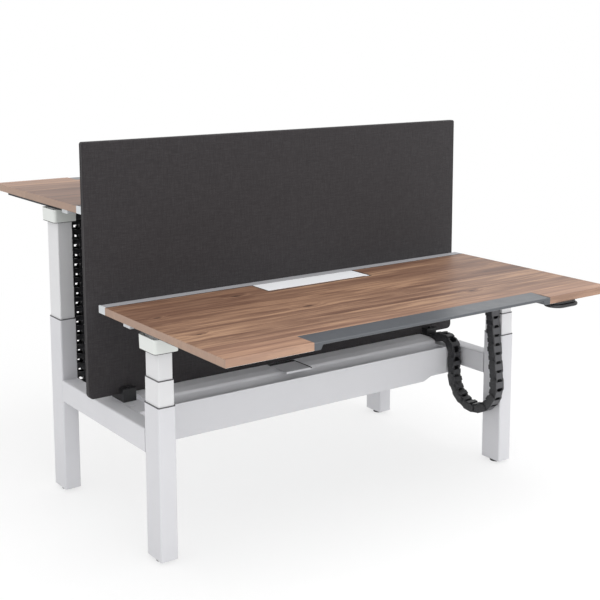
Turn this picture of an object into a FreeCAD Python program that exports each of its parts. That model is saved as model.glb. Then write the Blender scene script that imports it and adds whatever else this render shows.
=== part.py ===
import FreeCAD, Part
import Sketcher
import math
import os
import re

# Benching workstation: two height-adjustable desks back to back on one welded base, with a
# cable trough for each desk, a fabric screen between them and an energy chain up to each desk.
# X runs along the desks, the front desk lies towards -Y, Z is up and the origin is on the
# floor at the middle. The rear desk is the front one turned half round about Z.

doc = FreeCAD.newDocument("benching_workstation")

# Driving sizes in millimetres. A place called "out" is a distance from the middle plane
# between the desks, and a "drop" is measured down from a worktop's upper face.
SIZES = [
    # Worktops
    ("desk_long", 1600),
    ("desk_deep", 795),
    ("desk_gap", 55),
    ("top_thick", 25),
    ("front_height", 784),
    ("rear_height", 1098),
    ("edge_round", 1.5),
    # Extruded rail along the inner edge of a worktop
    ("rail_deep", 45),
    ("rail_wall", 2.5),
    ("rail_groove_wide", 4),
    ("rail_groove_deep", 2),
    ("rail_lip", 3),
    # Cable flap, its opening in the worktop and its hinge pins
    ("flap_long", 450),
    ("flap_deep", 106),
    ("flap_thick", 5),
    ("flap_gap", 1.5),
    ("flap_tab_long", 20),
    ("flap_tab_deep", 8),
    ("hinge_inset", 4),
    ("hinge_pin_radius", 1.5),
    ("hinge_pin_seat", 8),
    ("hinge_pin_grip", 20),
    # Moulded insert in the front edge
    ("insert_margin", 303),
    ("insert_deep", 88),
    ("insert_gap", 0.3),
    ("insert_slope", 2),
    ("insert_lip", 9),
    ("insert_root", 16),
    ("insert_rib", 3),
    ("gusset_wide", 32),
    ("gusset_foot", 24),
    ("gusset_round", 5),
    ("insert_lip_round", 3),
    # Lift columns
    ("column_inset", 53.3),
    ("column_out", 365.5),
    ("outer_wide", 62),
    ("outer_deep", 96),
    ("outer_wall", 2),
    ("middle_wall", 1.8),
    ("inner_wall", 1.6),
    ("glide_gap", 1),
    ("tube_corner", 6),
    ("foot_level", 12),
    ("base_thick", 6),
    ("front_outer_top", 521),
    ("rear_outer_top", 654),
    ("stage_lag", 2.5),
    ("middle_long", 477),
    ("inner_long", 518),
    ("upper_long", 655),
    ("ring_rim", 3),
    ("ring_skirt", 40),
    ("slide_fit", 0.1),
    ("press_gap", 0.05),
    # Lift drive: fixed screw, hollow spindle of the middle stage, motor and drive tube
    ("screw_radius", 6),
    ("front_screw_long", 382),
    ("rear_screw_long", 542),
    ("hollow_radius", 11),
    ("hollow_long", 385),
    ("spindle_gap", 0.4),
    ("drive_wall", 4),
    ("guide_plate", 3),
    ("guide_gap", 0.15),
    ("motor_radius", 18),
    ("motor_long", 90),
    ("gearbox_radius", 21),
    ("gearbox_long", 40),
    # Levelling feet
    ("foot_radius", 22),
    ("foot_neck_radius", 9),
    ("foot_rim", 3),
    ("foot_high", 9),
    ("stem_radius", 5),
    ("stem_gap", 0.1),
    # Cap housing and gasket at the head of a column
    ("cap_wide", 89),
    ("cap_deep", 112),
    ("cap_high", 46),
    ("cap_wall", 3),
    ("cap_floor", 4),
    ("cap_corner", 12),
    ("gasket_thick", 2),
    ("gasket_inset", 2),
    # Side arms and crossbar under a worktop
    ("arm_high", 17),
    ("arm_sheet", 3),
    ("arm_web", 50),
    ("arm_lip", 14),
    ("arm_start_out", 205),
    ("arm_end_out", 790),
    ("crossbar_out", 340),
    ("crossbar_deep", 30),
    ("crossbar_high", 26),
    ("crossbar_drop", 60),
    ("crossbar_wall", 2),
    ("crossbar_corner", 3),
    ("crossbar_gap", 0.3),
    # Welded cross beams of the base
    ("beam_bottom", 349),
    ("beam_high", 80),
    ("beam_wall", 2.5),
    ("beam_corner", 5),
    # Sheet cable troughs
    ("sheet", 2),
    ("trough_front_out", 165),
    ("trough_back_out", 102),
    ("trough_seam_out", 0.5),
    ("trough_bottom", 305),
    ("trough_lip", 430),
    ("flange_top", 450),
    ("flange_fold_out", 64),
    ("band_drop", 7),
    ("trough_front_bend", 4),
    ("trough_back_bend", 26),
    ("flange_bend", 12),
    ("flange_inset", 58.7),
    ("shelf_thick", 3),
    ("end_wall", 3),
    ("step_high", 17),
    ("step_inset", 135.7),
    ("step_long", 41),
    ("outlet_left", 103),
    ("outlet_right", 13),
    ("outlet_back_out", 14),
    ("outlet_front_out", 40),
    ("bridge_right", 9),
    ("bridge_front_out", 140),
    ("bridge_lip", 6),
    ("slot_long", 22),
    ("slot_wide", 12),
    ("slot_out", 88),
    ("slot_inset", 4),
    # Screen and its clamps
    ("screen_over", 25),
    ("screen_thick", 25),
    ("screen_top", 1323),
    ("screen_corner", 20),
    ("screen_round", 5),
    ("clamp_inset", 57.7),
    ("clamp_long", 48),
    ("clamp_deep", 90),
    ("clamp_above", 25),
    ("clamp_gap", 0.2),
    ("clamp_round", 3),
    ("clamp_bolt_out", 30),
    # Control box
    ("box_long", 260),
    ("box_deep", 92),
    ("box_high", 32),
    ("box_corner", 10),
    ("box_out", 263),
    ("box_ear", 16),
    ("box_ear_thick", 3),
    # Handset: a fixed base and a rocking paddle
    ("handset_inset", 225),
    ("handset_setback", 22),
    ("handset_long", 116),
    ("handset_deep", 60),
    ("handset_base_thick", 5),
    ("paddle_long", 130),
    ("paddle_deep", 80),
    ("paddle_thick", 9),
    ("paddle_gap", 2.6),
    ("paddle_bevel", 2),
    ("boss_long", 40),
    ("boss_deep", 8),
    ("trunnion_radius", 2),
    ("trunnion_long", 6),
    ("trunnion_fit", 0.05),
    ("pocket_gap", 1.5),
    # Energy chain and its end brackets
    ("chain_inset", 67.2),
    ("chain_wide", 44),
    ("chain_thick", 30),
    ("chain_plate", 3),
    ("chain_bar", 3),
    ("chain_play", 0.3),
    ("chain_lift", 1),
    ("chain_nose", 12),
    ("chain_chamfer", 8),
    ("chain_bar_long", 16),
    ("chain_start_out", 72),
    ("bracket_back", 24),
    ("front_hump_out", 140),
    ("front_hump_radius", 50),
    ("front_hump_top", 462),
    ("front_loop_out", 312),
    ("front_loop_radius", 120),
    ("front_loop_level", 333),
    ("front_rise_out", 386),
    ("rear_hump_out", 150),
    ("rear_hump_radius", 35),
    ("rear_hump_top", 465),
    ("rear_loop_radius", 75),
    ("rear_loop_level", 430),
    ("rear_rise_out", 385),
    # Fasteners
    ("bolt_radius", 4),
    ("bolt_head_radius", 7),
    ("bolt_head_high", 5),
    ("bolt_reach", 12),
    ("bolt_near_out", 50),
    ("bolt_far_out", 135),
    ("bolt_level", 385),
    ("wood_screw_radius", 2.5),
    ("wood_screw_head", 5),
    ("wood_screw_head_high", 3),
    ("wood_screw_long", 18),
    ("wood_screw_margin", 60),
    ("hole_gap", 0.1),
]

# Places that follow the worktop's length or depth, and the middle stage's height, which stays
# half way between the outer tube and the desk
FOLLOWING = [
    ("column_side", "desk_long / 2 - column_inset"),
    ("bay_half", "column_side - outer_wide / 2"),
    ("flange_half", "bay_half - flange_inset"),
    ("step_end", "bay_half - step_inset"),
    ("step_start", "step_end - step_long"),
    ("clamp_place", "column_side - clamp_inset"),
    ("chain_place", "column_side - chain_inset"),
    ("handset_place", "desk_long / 2 - handset_inset"),
    ("handset_out", "desk_gap + desk_deep - handset_setback"),
    ("insert_long", "desk_long - 2 * insert_margin"),
    ("screen_long", "desk_long + 2 * screen_over"),
    ("front_cap_bottom", "front_height - top_thick - arm_high - cap_high"),
    ("front_middle_top", "(front_outer_top + front_cap_bottom) / 2 - stage_lag"),
]

# Whole numbers and angles
FRONT_LINKS = 29
REAR_LINKS = 29
CAP_TAPER_DEGREES = 2
REAR_TURN_DEGREES = 180
HEX_SIDES = 6
SAME_PLACE = 0.001

sheet = doc.addObject("Spreadsheet::Sheet", "Sizes")
entries = [(name, str(size)) for name, size in SIZES] + [(name, "=" + text) for name, text in FOLLOWING]
for row, (name, content) in enumerate(entries, 1):
    sheet.set("A%d" % row, name)
    sheet.set("B%d" % row, content)
    sheet.setAlias("B%d" % row, name)
doc.recompute()

NAMES = {name for name, content in entries}
WORD = re.compile("[a-z][a-z_]*")

# Sizes that follow from the driving ones, as formulas in the sheet's names
MIDDLE_WIDE = "(outer_wide - 2 * (outer_wall + glide_gap))"
MIDDLE_DEEP = "(outer_deep - 2 * (outer_wall + glide_gap))"
MIDDLE_CORNER = "(tube_corner - outer_wall)"
INNER_WIDE = "(%s - 2 * (middle_wall + glide_gap))" % MIDDLE_WIDE
INNER_DEEP = "(%s - 2 * (middle_wall + glide_gap))" % MIDDLE_DEEP
INNER_CORNER = "(%s - middle_wall + glide_gap)" % MIDDLE_CORNER
ARM_DROP = "(top_thick + arm_high)"
BACK_OUT = "(desk_gap + rail_deep)"
FRONT_OUT = "(desk_gap + desk_deep)"
HINGE_OUT = "(%s + hinge_inset)" % BACK_OUT
BEAM_TOP = "(beam_bottom + beam_high)"
CHAIN_LEVEL = "(%s + chain_thick / 2 + chain_lift)" % BEAM_TOP
TOP_HINGE_DROP = "(top_thick + bracket_back)"
PIVOT_DROP = "(top_thick + handset_base_thick + paddle_gap + paddle_thick / 2)"


def formula(text):
    """A formula with the sheet's name put before each of its sizes."""
    def full(match):
        word = match.group(0)
        return "Sizes." + word if word in NAMES else word
    return WORD.sub(full, text)


def value(text):
    """The number that a formula gives."""
    return float(sheet.evalExpression(formula(text)))


def vector(x, y, z="0"):
    return FreeCAD.Vector(value(x), value(y), value(z))


def bind(thing, prop, text):
    """Tie a property or a sketch dimension to a formula."""
    thing.setExpression(prop, formula(text))


def place(thing, x="0", y="0", z="0", turn=0):
    """Put a sub-part at (x, y, z), turned about Z."""
    thing.Placement = FreeCAD.Placement(vector(x, y, z), FreeCAD.Rotation(turn, 0, 0))
    bind(thing, "Placement.Base.x", x)
    bind(thing, "Placement.Base.y", y)
    bind(thing, "Placement.Base.z", z)
    return thing


# The two desks: the way their front edge points along Y, the turn about Z and the height
ENDS = {
    "front": (1, 0, "front_height"),
    "rear": (-1, REAR_TURN_DEGREES, "rear_height"),
}
SIDES = {"left": -1, "right": 1}


def on_desk(thing, end, x="0", y="0", drop="0"):
    """Place a sub-part by its spot on the front desk and its depth below the worktop."""
    way, turn, height = ENDS[end]
    return place(thing, "%d * (%s)" % (way, x), "%d * (%s)" % (way, y), "%s - (%s)" % (height, drop), turn)


def at_column(end, side):
    """The X and Y of a column's axis seen from its own desk, so that sides swap at the rear."""
    way = ENDS[end][0]
    return "%d * column_side" % (SIDES[side] * way), "0 - column_out"


# Sketch helpers. A sketch lies on an origin plane of its own body, moved along that plane's
# axis: XY sketches hold (x, y), XZ sketches (x, z) and YZ sketches (y, z).
def new_body(label):
    body = doc.addObject("PartDesign::Body", label)
    body.Label = label
    return body


def new_sketch(body, plane, at="0"):
    sketch = body.newObject("Sketcher::SketchObject", body.Name + "_sketch")
    support = [item for item in body.Origin.OriginFeatures if item.Role == plane + "_Plane"][0]
    sketch.AttachmentSupport = [(support, "")]
    sketch.MapMode = "FlatFace"
    if at != "0":
        bind(sketch, "AttachmentOffset.Base.z", "0 - (%s)" % at if plane == "XZ" else at)
    return sketch


def pin(sketch, geometry, point, x, y):
    """Dimension one point of a sketch from its origin."""
    for kind, text in (("DistanceX", x), ("DistanceY", y)):
        number = sketch.addConstraint(Sketcher.Constraint(kind, -1, 1, geometry, point, value(text)))
        if text != "0":
            sketch.setExpression("Constraints[%d]" % number, formula(text))


def polygon(sketch, corners):
    """Closed outline through corners given as pairs of formulas."""
    points = [vector(x, y) for x, y in corners]
    first = sketch.GeometryCount
    count = len(points)
    for step in range(count):
        sketch.addGeometry(Part.LineSegment(points[step], points[(step + 1) % count]))
    for step in range(count):
        after = first + (step + 1) % count
        sketch.addConstraint(Sketcher.Constraint("Coincident", first + step, 2, after, 1))
    for step, (x, y) in enumerate(corners):
        pin(sketch, first + step, 1, x, y)


def rectangle(sketch, left, right, low, high):
    polygon(sketch, [(left, low), (right, low), (right, high), (left, high)])


def rounded(sketch, wide, deep, radius, x="0", y="0"):
    """Rectangle with round corners about (x, y): four sides, then the four arcs between them."""
    left = "(%s) - (%s) / 2" % (x, wide)
    right = "(%s) + (%s) / 2" % (x, wide)
    low = "(%s) - (%s) / 2" % (y, deep)
    high = "(%s) + (%s) / 2" % (y, deep)
    more = " + (%s)" % radius
    less = " - (%s)" % radius
    sides = [
        ((left + more, low), (right + less, low)),
        ((right, low + more), (right, high + less)),
        ((right + less, high), (left + more, high)),
        ((left, high + less), (left, low + more)),
    ]
    centres = [
        (right + less, low + more),
        (right + less, high + less),
        (left + more, high + less),
        (left + more, low + more),
    ]
    first = sketch.GeometryCount
    for start, end in sides:
        sketch.addGeometry(Part.LineSegment(vector(*start), vector(*end)))
    for step, centre in enumerate(centres):
        circle = Part.Circle(vector(*centre), FreeCAD.Vector(0, 0, 1), value(radius))
        angle = (step - 1) * math.pi / 2
        sketch.addGeometry(Part.ArcOfCircle(circle, angle, angle + math.pi / 2))
    for step, (start, end) in enumerate(sides):
        pin(sketch, first + step, 1, *start)
        pin(sketch, first + step, 2, *end)
    for step in range(len(sides)):
        arc = first + len(sides) + step
        after = first + (step + 1) % len(sides)
        sketch.addConstraint(Sketcher.Constraint("Coincident", first + step, 2, arc, 1))
        sketch.addConstraint(Sketcher.Constraint("Coincident", arc, 2, after, 1))
        number = sketch.addConstraint(Sketcher.Constraint("Radius", arc, value(radius)))
        sketch.setExpression("Constraints[%d]" % number, formula(radius))


def circle(sketch, radius, x="0", y="0"):
    ring = Part.Circle(vector(x, y), FreeCAD.Vector(0, 0, 1), value(radius))
    number = sketch.addGeometry(ring)
    pin(sketch, number, 3, x, y)
    bound = sketch.addConstraint(Sketcher.Constraint("Radius", number, value(radius)))
    sketch.setExpression("Constraints[%d]" % bound, formula(radius))


def pad(body, sketch, length, both=False, back=False, taper=0):
    """Solid drawn out of a sketch: along its normal, to both sides of it or backwards."""
    feature = body.newObject("PartDesign::Pad", body.Name + "_pad")
    feature.Profile = sketch
    bind(feature, "Length", length)
    feature.SideType = "Symmetric" if both else "One side"
    feature.Reversed = back
    feature.TaperAngle = taper
    sketch.Visibility = False
    return feature


def cut(body, sketch, length, both=False, ahead=False):
    """Pocket cut against a sketch's normal, to both sides of it or ahead along the normal."""
    doc.recompute()
    before = body.Tip.Shape.Volume
    feature = body.newObject("PartDesign::Pocket", body.Name + "_pocket")
    feature.Profile = sketch
    bind(feature, "Length", length)
    feature.SideType = "Symmetric" if both else "One side"
    feature.Reversed = ahead
    doc.recompute()
    if not feature.Shape.Volume < before:
        raise RuntimeError("a pocket in %s removes nothing" % body.Label)
    return feature


def edges_along(shape, axis, places):
    """Names of the straight edges along an axis that pass through the given places, each a
    pair of numbers for the two other coordinates in XYZ order."""
    names = []
    others = [number for number in range(3) if number != axis]
    for number, edge in enumerate(shape.Edges, 1):
        ends = [vertex.Point for vertex in edge.Vertexes]
        if len(ends) < 2 or abs(abs((ends[1] - ends[0])[axis]) - edge.Length) > SAME_PLACE:
            continue
        spot = [ends[0][other] for other in others]
        if any(math.dist(spot, wanted) < SAME_PLACE for wanted in places):
            names.append("Edge%d" % number)
    return names


def round_edges(body, axis, places, radius):
    """Fillet on the straight edges along an axis at places given as pairs of formulas."""
    doc.recompute()
    base = body.Tip
    spots = [(value(a), value(b)) for a, b in places]
    names = edges_along(base.Shape, axis, spots)
    if not names:
        raise RuntimeError("no edge to round in %s" % body.Label)
    feature = body.newObject("PartDesign::Fillet", body.Name + "_fillet")
    feature.Base = (base, names)
    bind(feature, "Radius", radius)
    return feature


def group(label, members):
    """One node that holds several like pieces, each a solid of its own."""
    whole = doc.addObject("Part::Compound", label)
    whole.Label = label
    whole.Links = members
    return whole


def cylinder(label, radius, high):
    solid = doc.addObject("Part::Cylinder", label)
    bind(solid, "Radius", radius)
    bind(solid, "Height", high)
    return solid


# Columns
def tube(label, wide, deep, wall, corner, long):
    """Rectangular tube with round corners that hangs down from the body's origin."""
    body = new_body(label)
    section = new_sketch(body, "XY")
    rounded(section, wide, deep, corner)
    bore_corner = "(%s) - (%s)" % (corner, wall)
    rounded(section, "(%s) - 2 * (%s)" % (wide, wall), "(%s) - 2 * (%s)" % (deep, wall), bore_corner)
    pad(body, section, long, back=True)
    return body


def outer_tube(end, side):
    """Outer tube of a column with its welded base plate, which takes a levelling foot."""
    label = "outer_tube_%s_%s" % (end, side)
    tip = "(%s_outer_top - ring_rim)" % end
    body = tube(label, "outer_wide", "outer_deep", "outer_wall", "tube_corner", "%s - foot_level" % tip)
    plate = new_sketch(body, "XY", "foot_level - %s" % tip)
    rounded(plate, "outer_wide - outer_wall", "outer_deep - outer_wall", "tube_corner - outer_wall / 2")
    circle(plate, "stem_radius + stem_gap")
    pad(body, plate, "base_thick")
    x, y = at_column(end, side)
    way = ENDS[end][0]
    return place(body, "%d * (%s)" % (way, x), "%d * (%s)" % (way, y), tip)


def glide_ring(label, wide, deep, wall, corner):
    """Plastic collar: a rim on the tube's end and a skirt that fills the running gap."""
    body = new_body(label)
    bore = ("%s - 2 * (%s + glide_gap - slide_fit)" % (wide, wall),
            "%s - 2 * (%s + glide_gap - slide_fit)" % (deep, wall),
            "%s - %s + slide_fit" % (corner, wall))
    rim = new_sketch(body, "XY")
    rounded(rim, wide, deep, corner)
    rounded(rim, *bore)
    pad(body, rim, "ring_rim")
    skirt = new_sketch(body, "XY")
    rounded(skirt, "%s - 2 * (%s + press_gap)" % (wide, wall), "%s - 2 * (%s + press_gap)" % (deep, wall),
            "%s - %s + slide_fit + press_gap" % (corner, wall))
    rounded(skirt, *bore)
    pad(body, skirt, "ring_skirt", back=True)
    return body


def outer_glide_rings():
    members = []
    for end, (way, turn, height) in ENDS.items():
        for side in SIDES:
            ring = glide_ring("outer_ring_%s_%s" % (end, side), "outer_wide", "outer_deep",
                              "outer_wall", "tube_corner")
            x, y = at_column(end, side)
            place(ring, "%d * (%s)" % (way, x), "%d * (%s)" % (way, y), "%s_outer_top - ring_rim" % end)
            members.append(ring)
    return group("outer_glide_rings", members)


def levelling_feet():
    """Turned feet: a bevelled disc with a stem that screws into the base plate."""
    members = []
    profile = [
        ("0", "0"),
        ("foot_radius", "0"),
        ("foot_radius", "foot_rim"),
        ("foot_neck_radius", "foot_high"),
        ("stem_radius", "foot_high"),
        ("stem_radius", "foot_level + base_thick - guide_gap"),
        ("0", "foot_level + base_thick - guide_gap"),
    ]
    for end, (way, turn, height) in ENDS.items():
        for side in SIDES:
            body = new_body("foot_%s_%s" % (end, side))
            half = new_sketch(body, "XZ")
            polygon(half, profile)
            turned = body.newObject("PartDesign::Revolution", body.Name + "_revolution")
            turned.Profile = half
            turned.ReferenceAxis = (half, ["V_Axis"])
            turned.Angle = 360
            x, y = at_column(end, side)
            place(body, "%d * (%s)" % (way, x), "%d * (%s)" % (way, y))
            members.append(body)
    return group("levelling_feet", members)


def lift_screws():
    """Fixed screws, one standing on each base plate."""
    members = []
    for end, (way, turn, height) in ENDS.items():
        for side in SIDES:
            screw = cylinder("screw_%s_%s" % (end, side), "screw_radius", "%s_screw_long" % end)
            x, y = at_column(end, side)
            place(screw, "%d * (%s)" % (way, x), "%d * (%s)" % (way, y), "foot_level + base_thick")
            members.append(screw)
    return group("lift_screws", members)


def middle_stage(side):
    """Middle tube of a front column, its glide ring and the hollow spindle that carries it."""
    x, y = at_column("front", side)
    name = "front_%s" % side
    tip = "(front_middle_top - ring_rim)"
    body = tube("middle_tube_" + name, MIDDLE_WIDE, MIDDLE_DEEP, "middle_wall", MIDDLE_CORNER, "middle_long")
    place(body, x, y, tip)
    ring = glide_ring("middle_ring_" + name, MIDDLE_WIDE, MIDDLE_DEEP, "middle_wall",
                      "(%s + glide_gap)" % MIDDLE_CORNER)
    place(ring, x, y, tip)
    spindle = new_body("hollow_spindle_" + name)
    plate = new_sketch(spindle, "XY")
    rounded(plate, "%s - 2 * (middle_wall + guide_gap)" % MIDDLE_WIDE,
            "%s - 2 * (middle_wall + guide_gap)" % MIDDLE_DEEP, "%s - middle_wall + guide_gap" % MIDDLE_CORNER)
    circle(plate, "screw_radius + spindle_gap")
    pad(spindle, plate, "guide_plate")
    stem = new_sketch(spindle, "XY")
    circle(stem, "hollow_radius")
    circle(stem, "screw_radius + spindle_gap")
    pad(spindle, stem, "hollow_long")
    place(spindle, x, y, "%s - middle_long" % tip)
    return [body, ring, spindle]


# What stands on the head of a column: the parts of it that move with the desk
def head(end, side):
    """The X and Y of a column on its desk and the size of the tube that carries the desk."""
    x, y = at_column(end, side)
    if end == "front":
        return x, y, (INNER_WIDE, INNER_DEEP, "inner_wall", INNER_CORNER, "inner_long")
    return x, y, (MIDDLE_WIDE, MIDDLE_DEEP, "middle_wall", MIDDLE_CORNER, "upper_long")


def inner_tube(end, side):
    x, y, size = head(end, side)
    body = tube("inner_tube_%s_%s" % (end, side), *size)
    return on_desk(body, end, x, y, ARM_DROP)


def cap_housing(end, side):
    """Die-cast housing on a column's head: a tapered shell, open upwards, whose floor fits
    closely round the tube."""
    x, y, (wide, deep, wall, corner, long) = head(end, side)
    body = new_body("cap_housing_%s_%s" % (end, side))
    shell = new_sketch(body, "XY")
    rounded(shell, "cap_wide", "cap_deep", "cap_corner")
    pad(body, shell, "cap_high", back=True, taper=-CAP_TAPER_DEGREES)
    hollow = new_sketch(body, "XY")
    rounded(hollow, "cap_wide - 2 * cap_wall", "cap_deep - 2 * cap_wall", "cap_corner - cap_wall")
    cut(body, hollow, "cap_high - cap_floor")
    throat = new_sketch(body, "XY")
    rounded(throat, "%s + 2 * press_gap" % wide, "%s + 2 * press_gap" % deep, "%s + press_gap" % corner)
    cut(body, throat, "cap_high + cap_floor")
    return on_desk(body, end, x, y, ARM_DROP)


def cap_gaskets(end):
    """Rubber frames under the housings, each round its tube."""
    members = []
    for side in SIDES:
        x, y, (wide, deep, wall, corner, long) = head(end, side)
        body = new_body("gasket_%s_%s" % (end, side))
        frame = new_sketch(body, "XY")
        rounded(frame, "cap_wide - 2 * gasket_inset", "cap_deep - 2 * gasket_inset",
                "cap_corner - gasket_inset")
        rounded(frame, "%s + 2 * press_gap" % wide, "%s + 2 * press_gap" % deep, "%s + press_gap" % corner)
        pad(body, frame, "gasket_thick", back=True)
        members.append(on_desk(body, end, x, y, "%s + cap_high" % ARM_DROP))
    return group("cap_gaskets_" + end, members)


def lift_drives(end):
    """Motor and gearbox inside the desk's tube, with the drive tube and its guide plate. At the
    front the drive tube runs over the hollow spindle, at the rear over the fixed screw."""
    spindle = "hollow_radius" if end == "front" else "screw_radius"
    bore = "(%s + spindle_gap)" % spindle
    members = []
    for side in SIDES:
        x, y, (wide, deep, wall, corner, long) = head(end, side)
        plate = ("%s - 2 * (%s + guide_gap)" % (wide, wall), "%s - 2 * (%s + guide_gap)" % (deep, wall),
                 "%s - %s + guide_gap" % (corner, wall))
        body = new_body("drive_%s_%s" % (end, side))
        top = new_sketch(body, "XY")
        rounded(top, *plate)
        pad(body, top, "guide_plate", back=True)
        motor = new_sketch(body, "XY", "0 - guide_plate")
        circle(motor, "motor_radius")
        pad(body, motor, "motor_long", back=True)
        gearbox = new_sketch(body, "XY", "0 - guide_plate - motor_long")
        circle(gearbox, "gearbox_radius")
        pad(body, gearbox, "gearbox_long", back=True)
        start = "(guide_plate + motor_long + gearbox_long)"
        shaft = new_sketch(body, "XY", "0 - %s" % start)
        circle(shaft, "%s + drive_wall" % bore)
        circle(shaft, bore)
        pad(body, shaft, "%s - %s" % (long, start), back=True)
        guide = new_sketch(body, "XY", "0 - %s" % long)
        rounded(guide, *plate)
        circle(guide, bore)
        pad(body, guide, "guide_plate")
        members.append(on_desk(body, end, x, y, ARM_DROP))
    return group("lift_drives_" + end, members)


# Base frame
def cross_beam(side):
    """Box beam welded between the front and the rear column of one side."""
    body = new_body("cross_beam_" + side)
    section = new_sketch(body, "XZ")
    rounded(section, "outer_wide", "beam_high", "beam_corner", y="beam_bottom + beam_high / 2")
    rounded(section, "outer_wide - 2 * beam_wall", "beam_high - 2 * beam_wall", "beam_corner - beam_wall",
            y="beam_bottom + beam_high / 2")
    pad(body, section, "2 * column_out - outer_deep", both=True)
    holes = new_sketch(body, "YZ", "%d * outer_wide / 2" % -SIDES[side])
    for out in ("bolt_near_out", "bolt_far_out"):
        for way in ("", "0 - "):
            circle(holes, "bolt_radius + hole_gap", way + out, "bolt_level")
    cut(body, holes, "4 * beam_wall", both=True)
    return place(body, "%d * column_side" % SIDES[side])


def cable_trough(end):
    """Folded sheet trough. The front wall, the bottom and the inner wall are one sheet with a
    raised flange that the screen stands on. Shelves and end walls are welded in at both ends,
    and the bottom is cut away at one end, where the energy chain brings its cables in. A bridge
    plate with a turned-down lip leads cables from the outlet in the flange over the trough."""
    body = new_body("cable_trough_" + end)
    section = new_sketch(body, "YZ")
    polygon(section, [
        ("0 - trough_front_out", "trough_lip"),
        ("0 - trough_front_out", "trough_bottom"),
        ("sheet - trough_back_out", "trough_bottom"),
        ("sheet - trough_back_out", "flange_top - band_drop - sheet"),
        ("0 - flange_fold_out", "flange_top - sheet"),
        ("0 - trough_seam_out", "flange_top - sheet"),
        ("0 - trough_seam_out", "flange_top"),
        ("0 - flange_fold_out", "flange_top"),
        ("0 - trough_back_out", "flange_top - band_drop"),
        ("0 - trough_back_out", "trough_bottom + sheet"),
        ("sheet - trough_front_out", "trough_bottom + sheet"),
        ("sheet - trough_front_out", "trough_lip"),
    ])
    pad(body, section, "2 * bay_half", both=True)
    round_edges(body, 0, [("0 - trough_front_out", "trough_bottom")], "trough_front_bend")
    round_edges(body, 0, [("sheet - trough_back_out", "trough_bottom")], "trough_back_bend")
    round_edges(body, 0, [("0 - trough_back_out", "trough_bottom + sheet")], "trough_back_bend - sheet")
    round_edges(body, 0, [("0 - trough_back_out", "flange_top - band_drop")], "flange_bend")
    round_edges(body, 0, [("sheet - trough_back_out", "flange_top - band_drop - sheet")], "flange_bend - sheet")

    inner_face = "sheet - trough_front_out"
    shelf = "(%s - shelf_thick)" % BEAM_TOP
    seam = "0 - trough_seam_out"
    raised = new_sketch(body, "XY", shelf)
    for left, right in (("bay_half", "flange_half"), ("0 - flange_half", "0 - bay_half")):
        rectangle(raised, left, right, inner_face, "trough_seam_out")
    cut(body, raised, "flange_top", ahead=True)
    shelves = new_sketch(body, "XY", shelf)
    for left, right in (("flange_half", "bay_half"), ("0 - bay_half", "0 - flange_half")):
        rectangle(shelves, left, right, inner_face, seam)
    pad(body, shelves, "shelf_thick")
    for start in ("bay_half - end_wall", "0 - bay_half"):
        wall = new_sketch(body, "YZ", start)
        rectangle(wall, inner_face, seam, "trough_bottom + step_high", shelf)
        pad(body, wall, "end_wall")

    step = new_sketch(body, "XZ")
    polygon(step, [
        ("step_start", "trough_bottom"),
        ("step_end", "trough_bottom + step_high"),
        ("bay_half", "trough_bottom + step_high"),
        ("bay_half", "trough_bottom - step_high"),
        ("step_start", "trough_bottom - step_high"),
    ])
    cut(body, step, "2 * trough_front_out", both=True)

    outlet = new_sketch(body, "XY", "flange_top")
    rounded(outlet, "outlet_left + outlet_right", "outlet_front_out - outlet_back_out", "flange_bend / 2",
            x="(outlet_right - outlet_left) / 2", y="0 - (outlet_front_out + outlet_back_out) / 2")
    cut(body, outlet, "2 * sheet")

    bridge = new_sketch(body, "XY", "flange_top")
    rectangle(bridge, "0 - outlet_left", "bridge_right", "0 - bridge_front_out", "0 - outlet_front_out")
    pad(body, bridge, "sheet")
    lip = new_sketch(body, "XY", "flange_top")
    rectangle(lip, "0 - outlet_left", "bridge_right", "0 - bridge_front_out", "sheet - bridge_front_out")
    pad(body, lip, "bridge_lip", back=True)

    slots = new_sketch(body, "XY", BEAM_TOP)
    rounded(slots, "slot_long", "slot_wide", "slot_wide / 2 - hole_gap",
            x="slot_inset + slot_long / 2 - bay_half", y="0 - slot_out")
    for way in (-1, 1):
        circle(slots, "bolt_radius + hole_gap", "%d * clamp_place" % way, "0 - clamp_bolt_out")
    cut(body, slots, "2 * shelf_thick")

    holes = new_sketch(body, "YZ", "0 - bay_half")
    for out in ("bolt_near_out", "bolt_far_out"):
        circle(holes, "bolt_radius + hole_gap", "0 - " + out, "bolt_level")
    cut(body, holes, "2 * bay_half", ahead=True)
    return place(body, turn=ENDS[end][1])


def screen_panel():
    """Fabric-covered acoustic board that stands on the trough flanges."""
    body = new_body("screen_panel")
    face = new_sketch(body, "XZ")
    rounded(face, "screen_long", "screen_top - flange_top", "screen_corner",
            y="(screen_top + flange_top) / 2")
    board = pad(body, face, "screen_thick", both=True)
    doc.recompute()
    rims = []
    for number, edge in enumerate(board.Shape.Edges, 1):
        ends = edge.BoundBox
        if ends.YLength < SAME_PLACE:
            rims.append("Edge%d" % number)
    soft = body.newObject("PartDesign::Fillet", "screen_fillet")
    soft.Base = (board, rims)
    bind(soft, "Radius", "screen_round")
    return body


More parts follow.
